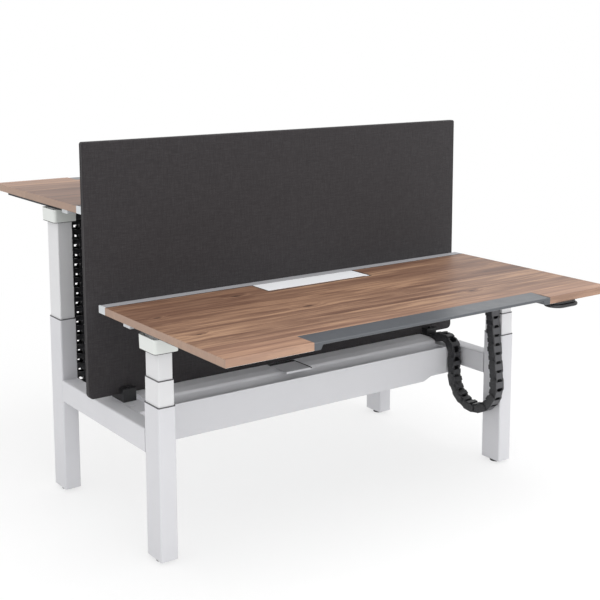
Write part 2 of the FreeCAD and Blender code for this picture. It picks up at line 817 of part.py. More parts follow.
def screen_clamps():
    """Blocks on the trough shelves that grip the screen's lower edge in a slot."""
    members = []
    for side, way in SIDES.items():
        body = new_body("clamp_" + side)
        half = "clamp_deep / 2"
        slot = "screen_thick / 2 + clamp_gap"
        crown = "flange_top + clamp_above"
        section = new_sketch(body, "YZ")
        polygon(section, [
            ("0 - " + half, BEAM_TOP),
            (half, BEAM_TOP),
            (half, crown),
            (slot, crown),
            (slot, "flange_top"),
            ("0 - (%s)" % slot, "flange_top"),
            ("0 - (%s)" % slot, crown),
            ("0 - " + half, crown),
        ])
        pad(body, section, "clamp_long", both=True)
        round_edges(body, 0, [("0 - " + half, crown), (half, crown)], "clamp_round")
        bores = new_sketch(body, "XY", crown)
        for out in ("clamp_bolt_out", "0 - clamp_bolt_out"):
            circle(bores, "bolt_radius + hole_gap", "0", out)
        cut(body, bores, "screen_top")
        members.append(place(body, "%d * clamp_place" % way))
    return group("screen_clamps", members)


def bolt(label, reach, head_radius, head_high, radius):
    """Hexagon bolt: its shank runs down from the origin and the head stands above it."""
    shank = cylinder(label + "_shank", radius, "(%s) + (%s) / 2" % (reach, head_high))
    place(shank, z="0 - (%s)" % reach)
    top = doc.addObject("Part::Prism", label + "_head")
    top.Polygon = HEX_SIDES
    bind(top, "Circumradius", head_radius)
    bind(top, "Height", head_high)
    whole = doc.addObject("Part::Fuse", label)
    whole.Base = shank
    whole.Tool = top
    return whole


def frame_screws():
    """Bolts that hold the troughs to the cross beams, and those through the clamps."""
    members = []
    for end, (way, turn, height) in ENDS.items():
        for side, hand in SIDES.items():
            for spot in ("near", "far"):
                screw = bolt("trough_bolt_%s_%s_%s" % (end, side, spot), "bolt_reach",
                             "bolt_head_radius", "bolt_head_high", "bolt_radius")
                place(screw, "%d * (bay_half - end_wall)" % hand, "%d * (0 - bolt_%s_out)" % (way, spot),
                      "bolt_level")
                lie_down = FreeCAD.Rotation(FreeCAD.Vector(0, 1, 0), -90 * hand)
                screw.Placement = FreeCAD.Placement(screw.Placement.Base, lie_down)
                members.append(screw)
            crown = "(flange_top + clamp_above)"
            screw = bolt("clamp_bolt_%s_%s" % (end, side), "%s - %s + bolt_reach" % (crown, BEAM_TOP),
                         "bolt_head_radius", "bolt_head_high", "bolt_radius")
            place(screw, "%d * clamp_place" % hand, "%d * (0 - clamp_bolt_out)" % way, crown)
            members.append(screw)
    return group("frame_screws", members)


# Desk
def desktop(end):
    """Laminated board with a notch for the edge insert and an opening for the cable flap."""
    body = new_body("desktop_" + end)
    half = "desk_long / 2"
    back = "0 - " + BACK_OUT
    front = "0 - " + FRONT_OUT
    notch = "insert_long / 2"
    notch_back = "insert_deep - " + FRONT_OUT
    mouth = "flap_long / 2"
    mouth_front = "0 - %s - flap_deep" % BACK_OUT
    tab_left = "flap_long / 2 - flap_tab_long - 2 * flap_gap"
    tab_front = mouth_front + " - flap_tab_deep"
    board = new_sketch(body, "XY", "0 - top_thick")
    polygon(board, [
        ("0 - " + half, back),
        ("0 - " + half, front),
        ("0 - " + notch, front),
        ("0 - " + notch, notch_back),
        (notch, notch_back),
        (notch, front),
        (half, front),
        (half, back),
        (mouth, back),
        (mouth, tab_front),
        (tab_left, tab_front),
        (tab_left, mouth_front),
        ("0 - " + mouth, mouth_front),
        ("0 - " + mouth, back),
    ])
    pad(body, board, "top_thick")
    round_edges(body, 0, [(front, "0"), (front, "0 - top_thick")], "edge_round")
    pins = new_sketch(body, "YZ")
    circle(pins, "hinge_pin_radius + press_gap", "0 - " + HINGE_OUT, "0 - flap_thick / 2")
    cut(body, pins, "flap_long + 2 * hinge_pin_seat + 2 * hole_gap", both=True)
    pilots = new_sketch(body, "XY", "0 - top_thick")
    for x, y in screw_places():
        circle(pilots, "wood_screw_radius + hole_gap", x, y)
    cut(body, pilots, "wood_screw_long", ahead=True)
    return on_desk(body, end)


def screw_places():
    """Where the wood screws go: both lips of both side arms, near the ends of the arms."""
    places = []
    for way in (-1, 1):
        for lip in ("+", "-"):
            x = "%d * (column_side %s (arm_web + arm_lip) / 2)" % (way, lip)
            places.append((x, "0 - arm_start_out - wood_screw_margin"))
            places.append((x, "wood_screw_margin - arm_end_out"))
    return places


def desk_screws(end):
    members = []
    for number, (x, y) in enumerate(screw_places(), 1):
        screw = bolt("desk_screw_%s_%d" % (end, number), "wood_screw_long - arm_sheet",
                     "wood_screw_head", "wood_screw_head_high", "wood_screw_radius")
        on_desk(screw, end, x, y, "top_thick + arm_sheet")
        turned = FreeCAD.Rotation(FreeCAD.Vector(1, 0, 0), 180)
        screw.Placement = FreeCAD.Placement(screw.Placement.Base, turned)
        members.append(screw)
    return group("desk_screws_" + end, members)


def edge_insert(end):
    """Moulded insert in the worktop's front edge: thin towards the user, full thickness where
    it meets the board and at the gussets of both ends."""
    body = new_body("edge_insert_" + end)
    back = "insert_deep - %s - insert_gap" % FRONT_OUT
    front = "0 - " + FRONT_OUT
    half = "insert_long / 2 - insert_gap"
    section = new_sketch(body, "YZ")
    polygon(section, [
        (back, "0"),
        (back, "0 - top_thick"),
        (back + " - insert_root", "0 - top_thick"),
        (back + " - 2 * insert_root", "0 - insert_lip - insert_rib"),
        (front, "0 - insert_slope - insert_lip"),
        (front, "0 - insert_slope"),
    ])
    pad(body, section, "2 * (%s)" % half, both=True)
    round_edges(body, 0, [(front, "0 - insert_slope"), (front, "0 - insert_slope - insert_lip")],
                "insert_lip_round")
    gussets = new_sketch(body, "XZ", back)
    for way in ("", "0 - "):
        polygon(gussets, [
            ("%s(%s)" % (way, half), "0 - insert_lip"),
            ("%s(%s - gusset_wide)" % (way, half), "0 - insert_lip"),
            ("%s(%s - gusset_foot)" % (way, half), "0 - top_thick"),
            ("%s(%s)" % (way, half), "0 - top_thick"),
        ])
    pad(body, gussets, "insert_deep - insert_gap")
    round_edges(body, 1, [("%s(%s - gusset_foot)" % (way, half), "0 - top_thick") for way in ("", "0 - ")],
                "gusset_round")
    return on_desk(body, end)


def rear_rail(end):
    """Aluminium extrusion with a closed chamber, a shadow groove in the upper face beside the
    board and a chamfered edge towards the screen."""
    body = new_body("rear_rail_" + end)
    inner = "0 - desk_gap"
    outer = "0 - " + BACK_OUT
    groove = "rail_wall - " + BACK_OUT
    floor = "0 - rail_groove_deep"
    section = new_sketch(body, "YZ")
    polygon(section, [
        (inner + " - rail_lip", "0"),
        (inner, "0 - rail_lip"),
        (inner, "0 - top_thick"),
        (outer, "0 - top_thick"),
        (outer, "0"),
        (groove, "0"),
        (groove, floor),
        (groove + " + rail_groove_wide", floor),
        (groove + " + rail_groove_wide", "0"),
    ])
    rectangle(section, groove, inner + " - rail_wall", "rail_wall - top_thick", floor + " - rail_wall")
    pad(body, section, "desk_long", both=True)
    return on_desk(body, end)


def cable_flap(end):
    """Lid over the cable opening, with a bored barrel along its hinged edge and a finger tab."""
    body = new_body("cable_flap_" + end)
    half = "(flap_long / 2 - flap_gap)"
    front = "0 - %s - flap_deep + flap_gap" % BACK_OUT
    barrel = "0 - " + HINGE_OUT
    lid = new_sketch(body, "XY", "0 - flap_thick")
    polygon(lid, [
        ("0 - " + half, barrel),
        ("0 - " + half, front),
        (half + " - flap_tab_long", front),
        (half + " - flap_tab_long", front + " - flap_tab_deep"),
        (half, front + " - flap_tab_deep"),
        (half, barrel),
    ])
    pad(body, lid, "flap_thick")
    edge = new_sketch(body, "YZ")
    circle(edge, "flap_thick / 2", barrel, "0 - flap_thick / 2")
    pad(body, edge, "2 * " + half, both=True)
    bore = new_sketch(body, "YZ")
    circle(bore, "hinge_pin_radius + press_gap", barrel, "0 - flap_thick / 2")
    cut(body, bore, "flap_long", both=True)
    return on_desk(body, end)


def flap_hinge_pins(end):
    members = []
    for side, way in SIDES.items():
        rod = cylinder("hinge_pin_%s_%s" % (end, side), "hinge_pin_radius",
                       "flap_gap + hinge_pin_grip + hinge_pin_seat")
        start = "flap_long / 2 - flap_gap - hinge_pin_grip" if way > 0 else "0 - flap_long / 2 - hinge_pin_seat"
        on_desk(rod, end, start, "0 - " + HINGE_OUT, "flap_thick / 2")
        lie_down = FreeCAD.Rotation(FreeCAD.Vector(0, 1, 0), 90 * ENDS[end][0])
        rod.Placement = FreeCAD.Placement(rod.Placement.Base, lie_down)
        members.append(rod)
    return group("flap_hinge_pins_" + end, members)


def side_arms(end):
    """Folded hat sections along the desk's short sides, between the housings and the board."""
    members = []
    web = "arm_web / 2"
    lip = "arm_web / 2 + arm_lip"
    bottom = "0 - " + ARM_DROP
    for side, way in SIDES.items():
        body = new_body("side_arm_%s_%s" % (end, side))
        section = new_sketch(body, "XZ", "0 - arm_start_out")
        polygon(section, [
            ("0 - " + web, bottom),
            (web, bottom),
            (web, "0 - top_thick - arm_sheet"),
            (lip, "0 - top_thick - arm_sheet"),
            (lip, "0 - top_thick"),
            (web + " - arm_sheet", "0 - top_thick"),
            (web + " - arm_sheet", bottom + " + arm_sheet"),
            ("arm_sheet - " + web, bottom + " + arm_sheet"),
            ("arm_sheet - " + web, "0 - top_thick"),
            ("0 - (%s)" % lip, "0 - top_thick"),
            ("0 - (%s)" % lip, "0 - top_thick - arm_sheet"),
            ("0 - " + web, "0 - top_thick - arm_sheet"),
        ])
        pad(body, section, "arm_end_out - arm_start_out")
        holes = new_sketch(body, "XY", "0 - top_thick")
        for x in ("(arm_web + arm_lip) / 2", "0 - (arm_web + arm_lip) / 2"):
            for y in ("0 - arm_start_out - wood_screw_margin", "wood_screw_margin - arm_end_out"):
                circle(holes, "wood_screw_radius + hole_gap", x, y)
        cut(body, holes, "2 * arm_sheet")
        members.append(on_desk(body, end, "%d * column_side" % way))
    return group("side_arms_" + end, members)


def crossbar(end):
    """Rectangular tube between the two housings of a desk."""
    body = new_body("crossbar_" + end)
    section = new_sketch(body, "YZ")
    centre = ("0 - crossbar_out", "0 - crossbar_drop - crossbar_high / 2")
    rounded(section, "crossbar_deep", "crossbar_high", "crossbar_corner", *centre)
    rounded(section, "crossbar_deep - 2 * crossbar_wall", "crossbar_high - 2 * crossbar_wall",
            "crossbar_corner - crossbar_wall", *centre)
    lean = "(crossbar_drop - %s) * tan(%d)" % (ARM_DROP, CAP_TAPER_DEGREES)
    pad(body, section, "2 * (column_side - cap_wide / 2 + %s - crossbar_gap)" % lean, both=True)
    return on_desk(body, end)


def control_box(end):
    """Power supply and control unit, screwed up under the worktop by two ears."""
    body = new_body("control_box_" + end)
    case = new_sketch(body, "XY", "0 - top_thick")
    rounded(case, "box_long", "box_deep", "box_corner", y="0 - box_out")
    pad(body, case, "box_high", back=True)
    ears = new_sketch(body, "XY", "0 - top_thick")
    rounded(ears, "box_long + 2 * box_ear", "2 * box_ear", "box_corner", y="0 - box_out")
    pad(body, ears, "box_ear_thick", back=True)
    return on_desk(body, end)


def handset_body(end):
    """Oval base under the front edge, with a boss and two trunnions that carry the paddle."""
    body = new_body("handset_body_" + end)
    rise = "(paddle_thick / 2 + paddle_gap)"
    base = new_sketch(body, "XY", rise)
    rounded(base, "handset_long", "handset_deep", "handset_deep / 2 - hole_gap")
    pad(body, base, "handset_base_thick")
    boss = new_sketch(body, "XY", rise)
    rounded(boss, "boss_long", "boss_deep", "trunnion_radius")
    pad(body, boss, "%s + trunnion_radius" % rise, back=True)
    trunnions = new_sketch(body, "YZ")
    circle(trunnions, "trunnion_radius")
    pad(body, trunnions, "boss_long + 2 * trunnion_long", both=True)
    return on_desk(body, end, "handset_place", "0 - handset_out", PIVOT_DROP)


def handset_paddle(end):
    """Oval rocker with a pocket for the boss, bored along its pivot for the trunnions."""
    body = new_body("handset_paddle_" + end)
    oval = new_sketch(body, "XY", "0 - paddle_thick / 2")
    rounded(oval, "paddle_long", "paddle_deep", "paddle_deep / 2 - hole_gap")
    slab = pad(body, oval, "paddle_thick")
    doc.recompute()
    rims = []
    for number, edge in enumerate(slab.Shape.Edges, 1):
        if edge.BoundBox.ZLength < SAME_PLACE:
            rims.append("Edge%d" % number)
    bevel = body.newObject("PartDesign::Chamfer", body.Name + "_chamfer")
    bevel.Base = (slab, rims)
    bind(bevel, "Size", "paddle_bevel")
    pocket = new_sketch(body, "XY", "paddle_thick / 2")
    rounded(pocket, "boss_long + 2 * pocket_gap", "boss_deep + 2 * pocket_gap", "trunnion_radius")
    cut(body, pocket, "paddle_thick / 2 + trunnion_radius + pocket_gap / 2")
    bore = new_sketch(body, "YZ")
    circle(bore, "trunnion_radius + trunnion_fit")
    cut(body, bore, "boss_long + 2 * trunnion_long + 2 * hole_gap", both=True)
    return on_desk(body, end, "handset_place", "0 - handset_out", PIVOT_DROP)


# Energy chains
def chain_bracket(label):
    """End bracket of an energy chain: two cheeks that hold the first link, a foot plate below
    and a back plate. Its hinge is at the origin and the chain leaves towards -Y."""
    body = new_body(label)
    half = "(chain_thick / 2 + chain_lift)"
    bevel = "chain_chamfer - chain_nose"
    cheeks = new_sketch(body, "YZ")
    polygon(cheeks, [
        ("bracket_back", "0 - " + half),
        ("bracket_back", half),
        (bevel, half),
        ("0 - chain_nose", half + " - chain_chamfer"),
        ("0 - chain_nose", "chain_chamfer - " + half),
        (bevel, "0 - " + half),
    ])
    pad(body, cheeks, "chain_wide", both=True)
    inside = new_sketch(body, "YZ")
    rectangle(inside, "0 - 2 * chain_nose", "bracket_back - chain_bar", "chain_bar - " + half, "2 * " + half)
    cut(body, inside, "chain_wide - 2 * chain_plate", both=True)
    open_foot = new_sketch(body, "YZ")
    rectangle(open_foot, "0 - 2 * chain_nose", "chain_nose", "0 - 2 * " + half, "0")
    cut(body, open_foot, "chain_wide - 2 * chain_plate", both=True)
    return body


def chain_base_fittings():
    members = []
    for end, (way, turn, height) in ENDS.items():
        bracket = chain_bracket("base_bracket_" + end)
        place(bracket, "%d * chain_place" % way, "%d * (0 - chain_start_out)" % way, CHAIN_LEVEL, turn)
        members.append(bracket)
    return group("chain_base_fittings", members)


def chain_top_fitting(end):
    """The same bracket under the worktop, turned so that the chain comes up into it."""
    bracket = chain_bracket("chain_top_fitting_" + end)
    on_desk(bracket, end, "chain_place", "0 - %s_rise_out" % end, TOP_HINGE_DROP)
    tilt = FreeCAD.Rotation(FreeCAD.Vector(1, 0, 0), 90)
    turn = FreeCAD.Rotation(ENDS[end][1], 0, 0)
    bracket.Placement = FreeCAD.Placement(bracket.Placement.Base, turn.multiply(tilt))
    return bracket


def chain_link(pitch, inner):
    """One link along +Y from its first hinge: two side plates and two cross bars. Inner and
    outer links take turns, so that their plates overlap at the hinges."""
    half = value("chain_thick / 2")
    nose = value("chain_nose")
    bevel = value("chain_chamfer")
    plate = value("chain_plate")
    outside = value("chain_wide / 2")
    if inner:
        outside -= plate + value("chain_play")
    outline = [
        (-nose, bevel - half),
        (bevel - nose, -half),
        (pitch + nose - bevel, -half),
        (pitch + nose, bevel - half),
        (pitch + nose, half - bevel),
        (pitch + nose - bevel, half),
        (bevel - nose, half),
        (-nose, half - bevel),
    ]
    points = [FreeCAD.Vector(outside - plate, y, z) for y, z in outline]
    side = Part.Face(Part.makePolygon(points + points[:1])).extrude(FreeCAD.Vector(plate, 0, 0))
    other = side.copy()
    other.translate(FreeCAD.Vector(plate - 2 * outside, 0, 0))
    bar = value("chain_bar")
    bar_long = value("chain_bar_long")
    bar_start = (pitch - bar_long) / 2
    across = 2 * (outside - plate)
    bars = []
    for level in (-half, half - bar):
        corner = FreeCAD.Vector(plate - outside, bar_start, level)
        bars.append(Part.makeBox(across, bar_long, bar, corner))
    return side.fuse([other] + bars).removeSplitter()


def chain_route(end):
    """Path of the hinges in the Y-Z plane of the front desk: over the trough's wall, down
    into a loop and up to the worktop."""
    def point(y, z):
        return FreeCAD.Vector(0, y, z)

    start = point(-value("chain_start_out"), value(CHAIN_LEVEL))
    top = point(-value(end + "_rise_out"), value("%s_height - %s" % (end, TOP_HINGE_DROP)))
    hump = value(end + "_hump_radius")
    hump_centre = point(-value(end + "_hump_out"), value("%s_hump_top - %s_hump_radius" % (end, end)))
    reach = start - hump_centre
    turn = math.atan2(reach.z, reach.y) + math.acos(hump / reach.Length)

    def on_arc(centre, radius, angle):
        return centre + FreeCAD.Vector(0, radius * math.cos(angle), radius * math.sin(angle))

    leave = on_arc(hump_centre, hump, turn)
    crest = on_arc(hump_centre, hump, (turn + math.pi) / 2)
    fall = on_arc(hump_centre, hump, math.pi)
    loop = value(end + "_loop_radius")
    level = value(end + "_loop_level")
    sink = point(fall.y, level)
    near = point(fall.y - loop, level)
    far_side = -value("front_loop_out + front_loop_radius") if end == "front" else top.y
    far = point(far_side + loop, level)
    rise = point(far_side, level)
    edges = [Part.LineSegment(start, leave), Part.Arc(leave, crest, fall)]
    if (fall - sink).Length > SAME_PLACE:
        edges.append(Part.LineSegment(fall, sink))
    down = -math.pi / 2
    near_low = on_arc(near, loop, down)
    far_low = on_arc(far, loop, down)
    edges.append(Part.Arc(sink, on_arc(near, loop, down / 2), near_low))
    edges.append(Part.LineSegment(near_low, far_low))
    edges.append(Part.Arc(far_low, on_arc(far, loop, 3 * down / 2), rise))
    edges.append(Part.LineSegment(rise, top))
    return Part.Wire([edge.toShape() for edge in edges])


def chain(end, count):
    """All links of one energy chain, as solids in the front desk's frame, and how many of
    them lie before the run that rises to the worktop."""
    route = chain_route(end)
    hinges = route.discretize(Number=count + 1)
    pitch = route.Length / count
    kinds = [chain_link(pitch, True), chain_link(pitch, False)]
    links = []
    for number in range(count):
        way = hinges[number + 1] - hinges[number]
        turn = FreeCAD.Rotation(FreeCAD.Vector(1, 0, 0), math.degrees(math.atan2(way.z, way.y)))
        link = kinds[number % 2].copy()
        link.Placement = FreeCAD.Placement(hinges[number], turn)
        links.append(link)
    level = value(end + "_loop_level")
    rising = [number for number in range(count // 2, count) if hinges[number].z >= level]
    return links, rising[0]


def chain_node(label, end, links):
    whole = doc.addObject("Part::Feature", label)
    whole.Label = label
    whole.Shape = Part.Compound(links)
    way, turn, height = ENDS[end]
    return place(whole, "%d * chain_place" % way, turn=turn)


nodes = []
for end in ENDS:
    for side in SIDES:
        nodes.append(outer_tube(end, side))
nodes.append(levelling_feet())
nodes.append(outer_glide_rings())
nodes.append(lift_screws())
for side in SIDES:
    nodes.append(cross_beam(side))
for end in ENDS:
    nodes.append(cable_trough(end))
nodes.append(frame_screws())
nodes.append(screen_panel())
nodes.append(screen_clamps())
nodes.append(chain_base_fittings())
for side in SIDES:
    nodes.extend(middle_stage(side))
for end in ENDS:
    for side in SIDES:
        nodes.append(inner_tube(end, side))
        nodes.append(cap_housing(end, side))
    nodes.append(cap_gaskets(end))
    nodes.append(lift_drives(end))
    nodes.append(side_arms(end))
    nodes.append(crossbar(end))
    nodes.append(desktop(end))
    nodes.append(edge_insert(end))
    nodes.append(rear_rail(end))
    nodes.append(control_box(end))
    nodes.append(handset_body(end))
    nodes.append(handset_paddle(end))
    nodes.append(desk_screws(end))
    nodes.append(cable_flap(end))
    nodes.append(flap_hinge_pins(end))
    nodes.append(chain_top_fitting(end))
front_links, in_loop = chain("front", FRONT_LINKS)
nodes.append(chain_node("chain_loop_front", "front", front_links[:in_loop]))
nodes.append(chain_node("chain_riser_front", "front", front_links[in_loop:]))
rear_links, in_loop = chain("rear", REAR_LINKS)
nodes.append(chain_node("cable_chain_rear", "rear", rear_links))

doc.recompute()
for item in doc.Objects:
    if "Invalid" in item.State or "Error" in item.State:
        raise RuntimeError("%s failed: %s" % (item.Label, item.State))
for node in nodes:
    if node.Shape.isNull() or not node.Shape.isValid() or not node.Shape.Solids:
        raise RuntimeError("%s has no valid solid" % node.Label)

os.makedirs("parts", exist_ok=True)
for node in nodes:
    node.Shape.exportStep("parts/%s.step" % node.Label)
print(len(nodes), "nodes")
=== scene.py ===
import math

import bmesh
import bpy
from mathutils import Matrix, Vector


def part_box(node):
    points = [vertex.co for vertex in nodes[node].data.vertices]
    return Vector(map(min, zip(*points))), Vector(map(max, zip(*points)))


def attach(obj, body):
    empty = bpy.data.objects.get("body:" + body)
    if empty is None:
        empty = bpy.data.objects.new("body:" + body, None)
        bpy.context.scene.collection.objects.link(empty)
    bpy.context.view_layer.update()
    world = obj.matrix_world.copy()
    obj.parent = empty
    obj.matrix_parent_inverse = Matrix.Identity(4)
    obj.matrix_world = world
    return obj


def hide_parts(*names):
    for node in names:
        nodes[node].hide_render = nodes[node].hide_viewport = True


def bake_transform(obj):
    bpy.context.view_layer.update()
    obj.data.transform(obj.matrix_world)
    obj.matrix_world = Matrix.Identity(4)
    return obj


# Benching workstation: two height-adjustable desks back to back on one welded base, with a
# fabric screen between them, a cable trough for each and an energy chain up to each desk.
# Metres, X along the desks, the front desk towards -Y, Z up. Pieces in order of assembly.
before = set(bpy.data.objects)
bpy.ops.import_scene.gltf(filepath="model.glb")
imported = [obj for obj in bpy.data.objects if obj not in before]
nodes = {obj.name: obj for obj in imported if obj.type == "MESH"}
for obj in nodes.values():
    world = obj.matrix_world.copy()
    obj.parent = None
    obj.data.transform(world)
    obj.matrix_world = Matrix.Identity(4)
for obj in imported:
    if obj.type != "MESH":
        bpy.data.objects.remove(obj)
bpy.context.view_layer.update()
scene = bpy.context.scene
MM = 0.001
# The rear desk is the front one turned half round, so its places take the other sign
DESKS = {"front": 1, "rear": -1}


# Welded base. Rectangular steel tubes stand at the four corners, box beams join them front to
# rear and are ground flush at the welds, and all of it has one coat of light grey powder with
# a fine orange-peel skin.
CLOUD_WIDE = 200 * MM
SMEAR_WIDE = 41.7 * MM
CHIP_WIDE = 11.1 * MM
# How far a rubbed edge reaches
COAT_EDGE = 1.2 * MM


def linear(code):
    """Linear colour of an sRGB hex code."""
    channels = [int(code[start:start + 2], 16) / 255 for start in (0, 2, 4)]
    return [c / 12.92 if c <= 0.04045 else ((c + 0.055) / 1.055) ** 2.4 for c in channels] + [1]


def add(tree, kind, settings=None, links=None):
    """Adds a shader node. Settings are its properties, input values or ramp stops, and links
    are the sockets that feed its inputs."""
    node = tree.nodes.new("ShaderNode" + kind)
    for key, value in (settings or {}).items():
        if key == "stops":
            ramp = node.color_ramp.elements
            for number, (position, colour) in enumerate(value):
                element = ramp[number] if number < 2 else ramp.new(position)
                element.position = position
                element.color = colour
        elif isinstance(key, str) and hasattr(node, key):
            setattr(node, key, value)
        else:
            node.inputs[key].default_value = value
    for key, source in (links or {}).items():
        tree.links.new(source, node.inputs[key])
    return node


def start_material(name, shader):
    """A material whose even values sit on the Principled shader's own sockets."""
    material = bpy.data.materials.new(name)
    material.use_nodes = True
    surface = material.node_tree.nodes["Principled BSDF"]
    for key, value in shader.items():
        surface.inputs[key].default_value = value
    return material, material.node_tree, surface


def connect(tree, surface, colour, bump, gloss):
    """Feeds the Principled shader from the last nodes of a material."""
    tree.links.new(colour.outputs["Color"], surface.inputs["Base Color"])
    tree.links.new(bump.outputs["Normal"], surface.inputs["Normal"])
    tree.links.new(gloss.outputs["Result"], surface.inputs["Roughness"])


def edge_wear(tree, where, reach):
    """How far a spot lies on a rounded-off edge, broken up by noise, and the softened normal."""
    soft = add(tree, "Bevel", {"samples": 6, "Radius": reach}).outputs["Normal"]
    flat = add(tree, "NewGeometry").outputs["True Normal"]
    facing = add(tree, "VectorMath", {"operation": "DOT_PRODUCT"}, {0: soft, 1: flat})
    edge = add(tree, "MapRange", {"From Min": 0.99, "From Max": 0.75, "To Max": 0.8},
               {"Value": facing.outputs["Value"]})
    chips = add(tree, "TexNoise", {"Scale": 1 / CHIP_WIDE, "Detail": 4}, {"Vector": where})
    worn = add(tree, "Math", {"operation": "MULTIPLY"},
               {0: edge.outputs["Result"], 1: chips.outputs["Fac"]})
    return worn.outputs["Value"], soft


def coated(name, base, shade, worn, grain, depth, rough):
    """Paint or moulding: a cloudy tone, a skin of the real grain size and depth, uneven gloss
    and slightly rubbed edges."""
    material, tree, surface = start_material(name, {})
    where = add(tree, "TexCoord").outputs["Object"]
    cloud = add(tree, "TexNoise", {"Scale": 1 / CLOUD_WIDE, "Detail": 5, "Roughness": 0.6},
                {"Vector": where})
    tone = add(tree, "MixRGB", {"Color1": linear(base), "Color2": linear(shade)},
               {"Fac": cloud.outputs["Fac"]})
    edge, soft = edge_wear(tree, where, COAT_EDGE)
    colour = add(tree, "MixRGB", {"Color2": linear(worn)},
                 {"Fac": edge, "Color1": tone.outputs["Color"]})
    skin = add(tree, "TexNoise", {"Scale": 1 / grain, "Detail": 2}, {"Vector": where})
    bump = add(tree, "Bump", {"Strength": 0.6, "Distance": depth},
               {"Height": skin.outputs["Fac"], "Normal": soft})
    smear = add(tree, "TexNoise", {"Scale": 1 / SMEAR_WIDE, "Detail": 3}, {"Vector": where})
    gloss = add(tree, "MapRange", {"To Min": rough - 0.08, "To Max": rough + 0.08},
                {"Value": smear.outputs["Fac"]})
    connect(tree, surface, colour, bump, gloss)
    return material


def dress(material, *names):
    """Gives CAD nodes a material in place of their plain one."""
    for name in names:
        for slot in nodes[name].material_slots:
            slot.material = material


# Polyester powder over steel sheet and tube: light grey, satin, with a soft broad highlight
frame_coat = coated("light_grey_powder_coat", "D7D7DA", "D1D1D5", "E6E6E8", 1.2 * MM, 0.03 * MM, 0.48)
dress(frame_coat, "outer_tube_front_left", "outer_tube_front_right", "outer_tube_rear_left",
      "outer_tube_rear_right", "cross_beam_left", "cross_beam_right")


# Levelling feet. Turned discs under the columns, moulded in black nylon round a steel stem. The
# nylon looks dull and slightly grainy.
nylon = coated("black_nylon", "1D1D20", "27272A", "3A3A3D", 0.8 * MM, 0.03 * MM, 0.55)
dress(nylon, "levelling_feet")


# Glide rings. Dark acetal collars pressed into the tube ends, so only a thin dark rim shows
# between one telescoping stage and the next.
acetal = coated("dark_grey_acetal", "4C4C50", "434347", "5E5E62", 0.6 * MM, 0.01 * MM, 0.4)
dress(acetal, "outer_glide_rings", "middle_ring_front_left", "middle_ring_front_right")


# Lift screws, spindles and drive tubes. Machined steel with fine turning marks round each
# shaft, which draw its highlight out. All of it runs inside the columns.
MARK_LONG = 250 * MM
MARK_DEPTH = 0.02 * MM
PATCH_WIDE = 83.3 * MM
METAL_EDGE = 0.8 * MM
BRIGHT_METAL = "F0F0F0"


def stretched(tree, kind, where, sizes, settings):
    """A texture whose marks have the given sizes along X, Y and Z."""
    scaled = add(tree, "Mapping", {"Scale": [1 / size for size in sizes]}, {"Vector": where})
    return add(tree, kind, {"Scale": 1, **settings}, {"Vector": scaled.outputs["Vector"]})


def machined(name, base, shade, rough, groove):
    """Bare metal with marks round its upright axis, grouped by pitch and dulled in patches."""
    material, tree, surface = start_material(name, {"Metallic": 1})
    where = add(tree, "TexCoord").outputs["Object"]
    lines = stretched(tree, "TexNoise", where, (MARK_LONG, MARK_LONG, groove), {"Detail": 3})
    patches = add(tree, "TexNoise", {"Scale": 1 / PATCH_WIDE, "Detail": 4}, {"Vector": where})
    tone = add(tree, "MixRGB", {"Color1": linear(base), "Color2": linear(shade)},
               {"Fac": lines.outputs["Fac"]})
    edge, soft = edge_wear(tree, where, METAL_EDGE)
    colour = add(tree, "MixRGB", {"Color2": linear(BRIGHT_METAL)},
                 {"Fac": edge, "Color1": tone.outputs["Color"]})
    bump = add(tree, "Bump", {"Strength": 0.25, "Distance": MARK_DEPTH},
               {"Height": lines.outputs["Fac"], "Normal": soft})
    gloss = add(tree, "MapRange", {"To Min": rough - 0.08, "To Max": rough + 0.1},
                {"Value": patches.outputs["Fac"]})
    connect(tree, surface, colour, bump, gloss)
    return material


drive_steel = machined("machined_steel", "9A9A9C", "86868A", 0.35, 0.5 * MM)
dress(drive_steel, "lift_screws", "hollow_spindle_front_left", "hollow_spindle_front_right",
      "lift_drives_front", "lift_drives_rear")


# Cable troughs. One folded steel sheet each, with the same coat as the base. A black rubber
# collar pressed into the outlet in the flange darkens the hole as painted shade, and a black
# rubber profile pushed on the inner end of the bridge plate beside it keeps the sheet from
# cutting the cables.
dress(frame_coat, "cable_trough_front", "cable_trough_rear")
FLANGE_TOP = 450 * MM
OUTLET_ACROSS = (-103 * MM, 13 * MM)
OUTLET_ALONG = (-40 * MM, -14 * MM)
COLLAR_WALL = 1.5 * MM
COLLAR_DEEP = 16 * MM
COLLAR_LIP = 0.8 * MM
COLLAR_GAP = 0.1 * MM
COLLAR_CORNER = 6 * MM
COLLAR_ROUND = 0.3 * MM
EDGING_ACROSS = (5 * MM, 10 * MM)
EDGING_ALONG = (-141 * MM, -42 * MM)
EDGING_HEIGHT = (449 * MM, 453 * MM)
EDGING_ROUND = 0.5 * MM


def mesh_piece(name, points, faces, material, smooth=False):
    """An object from points and faces, with outward normals."""
    mesh = bpy.data.meshes.new(name)
    mesh.from_pydata([tuple(point) for point in points], [], faces)
    skin = bmesh.new()
    skin.from_mesh(mesh)
    bmesh.ops.recalc_face_normals(skin, faces=skin.faces)
    skin.to_mesh(mesh)
    skin.free()
    for face in mesh.polygons:
        face.use_smooth = smooth
    mesh.materials.append(material)
    piece = bpy.data.objects.new(name, mesh)
    scene.collection.objects.link(piece)
    return piece


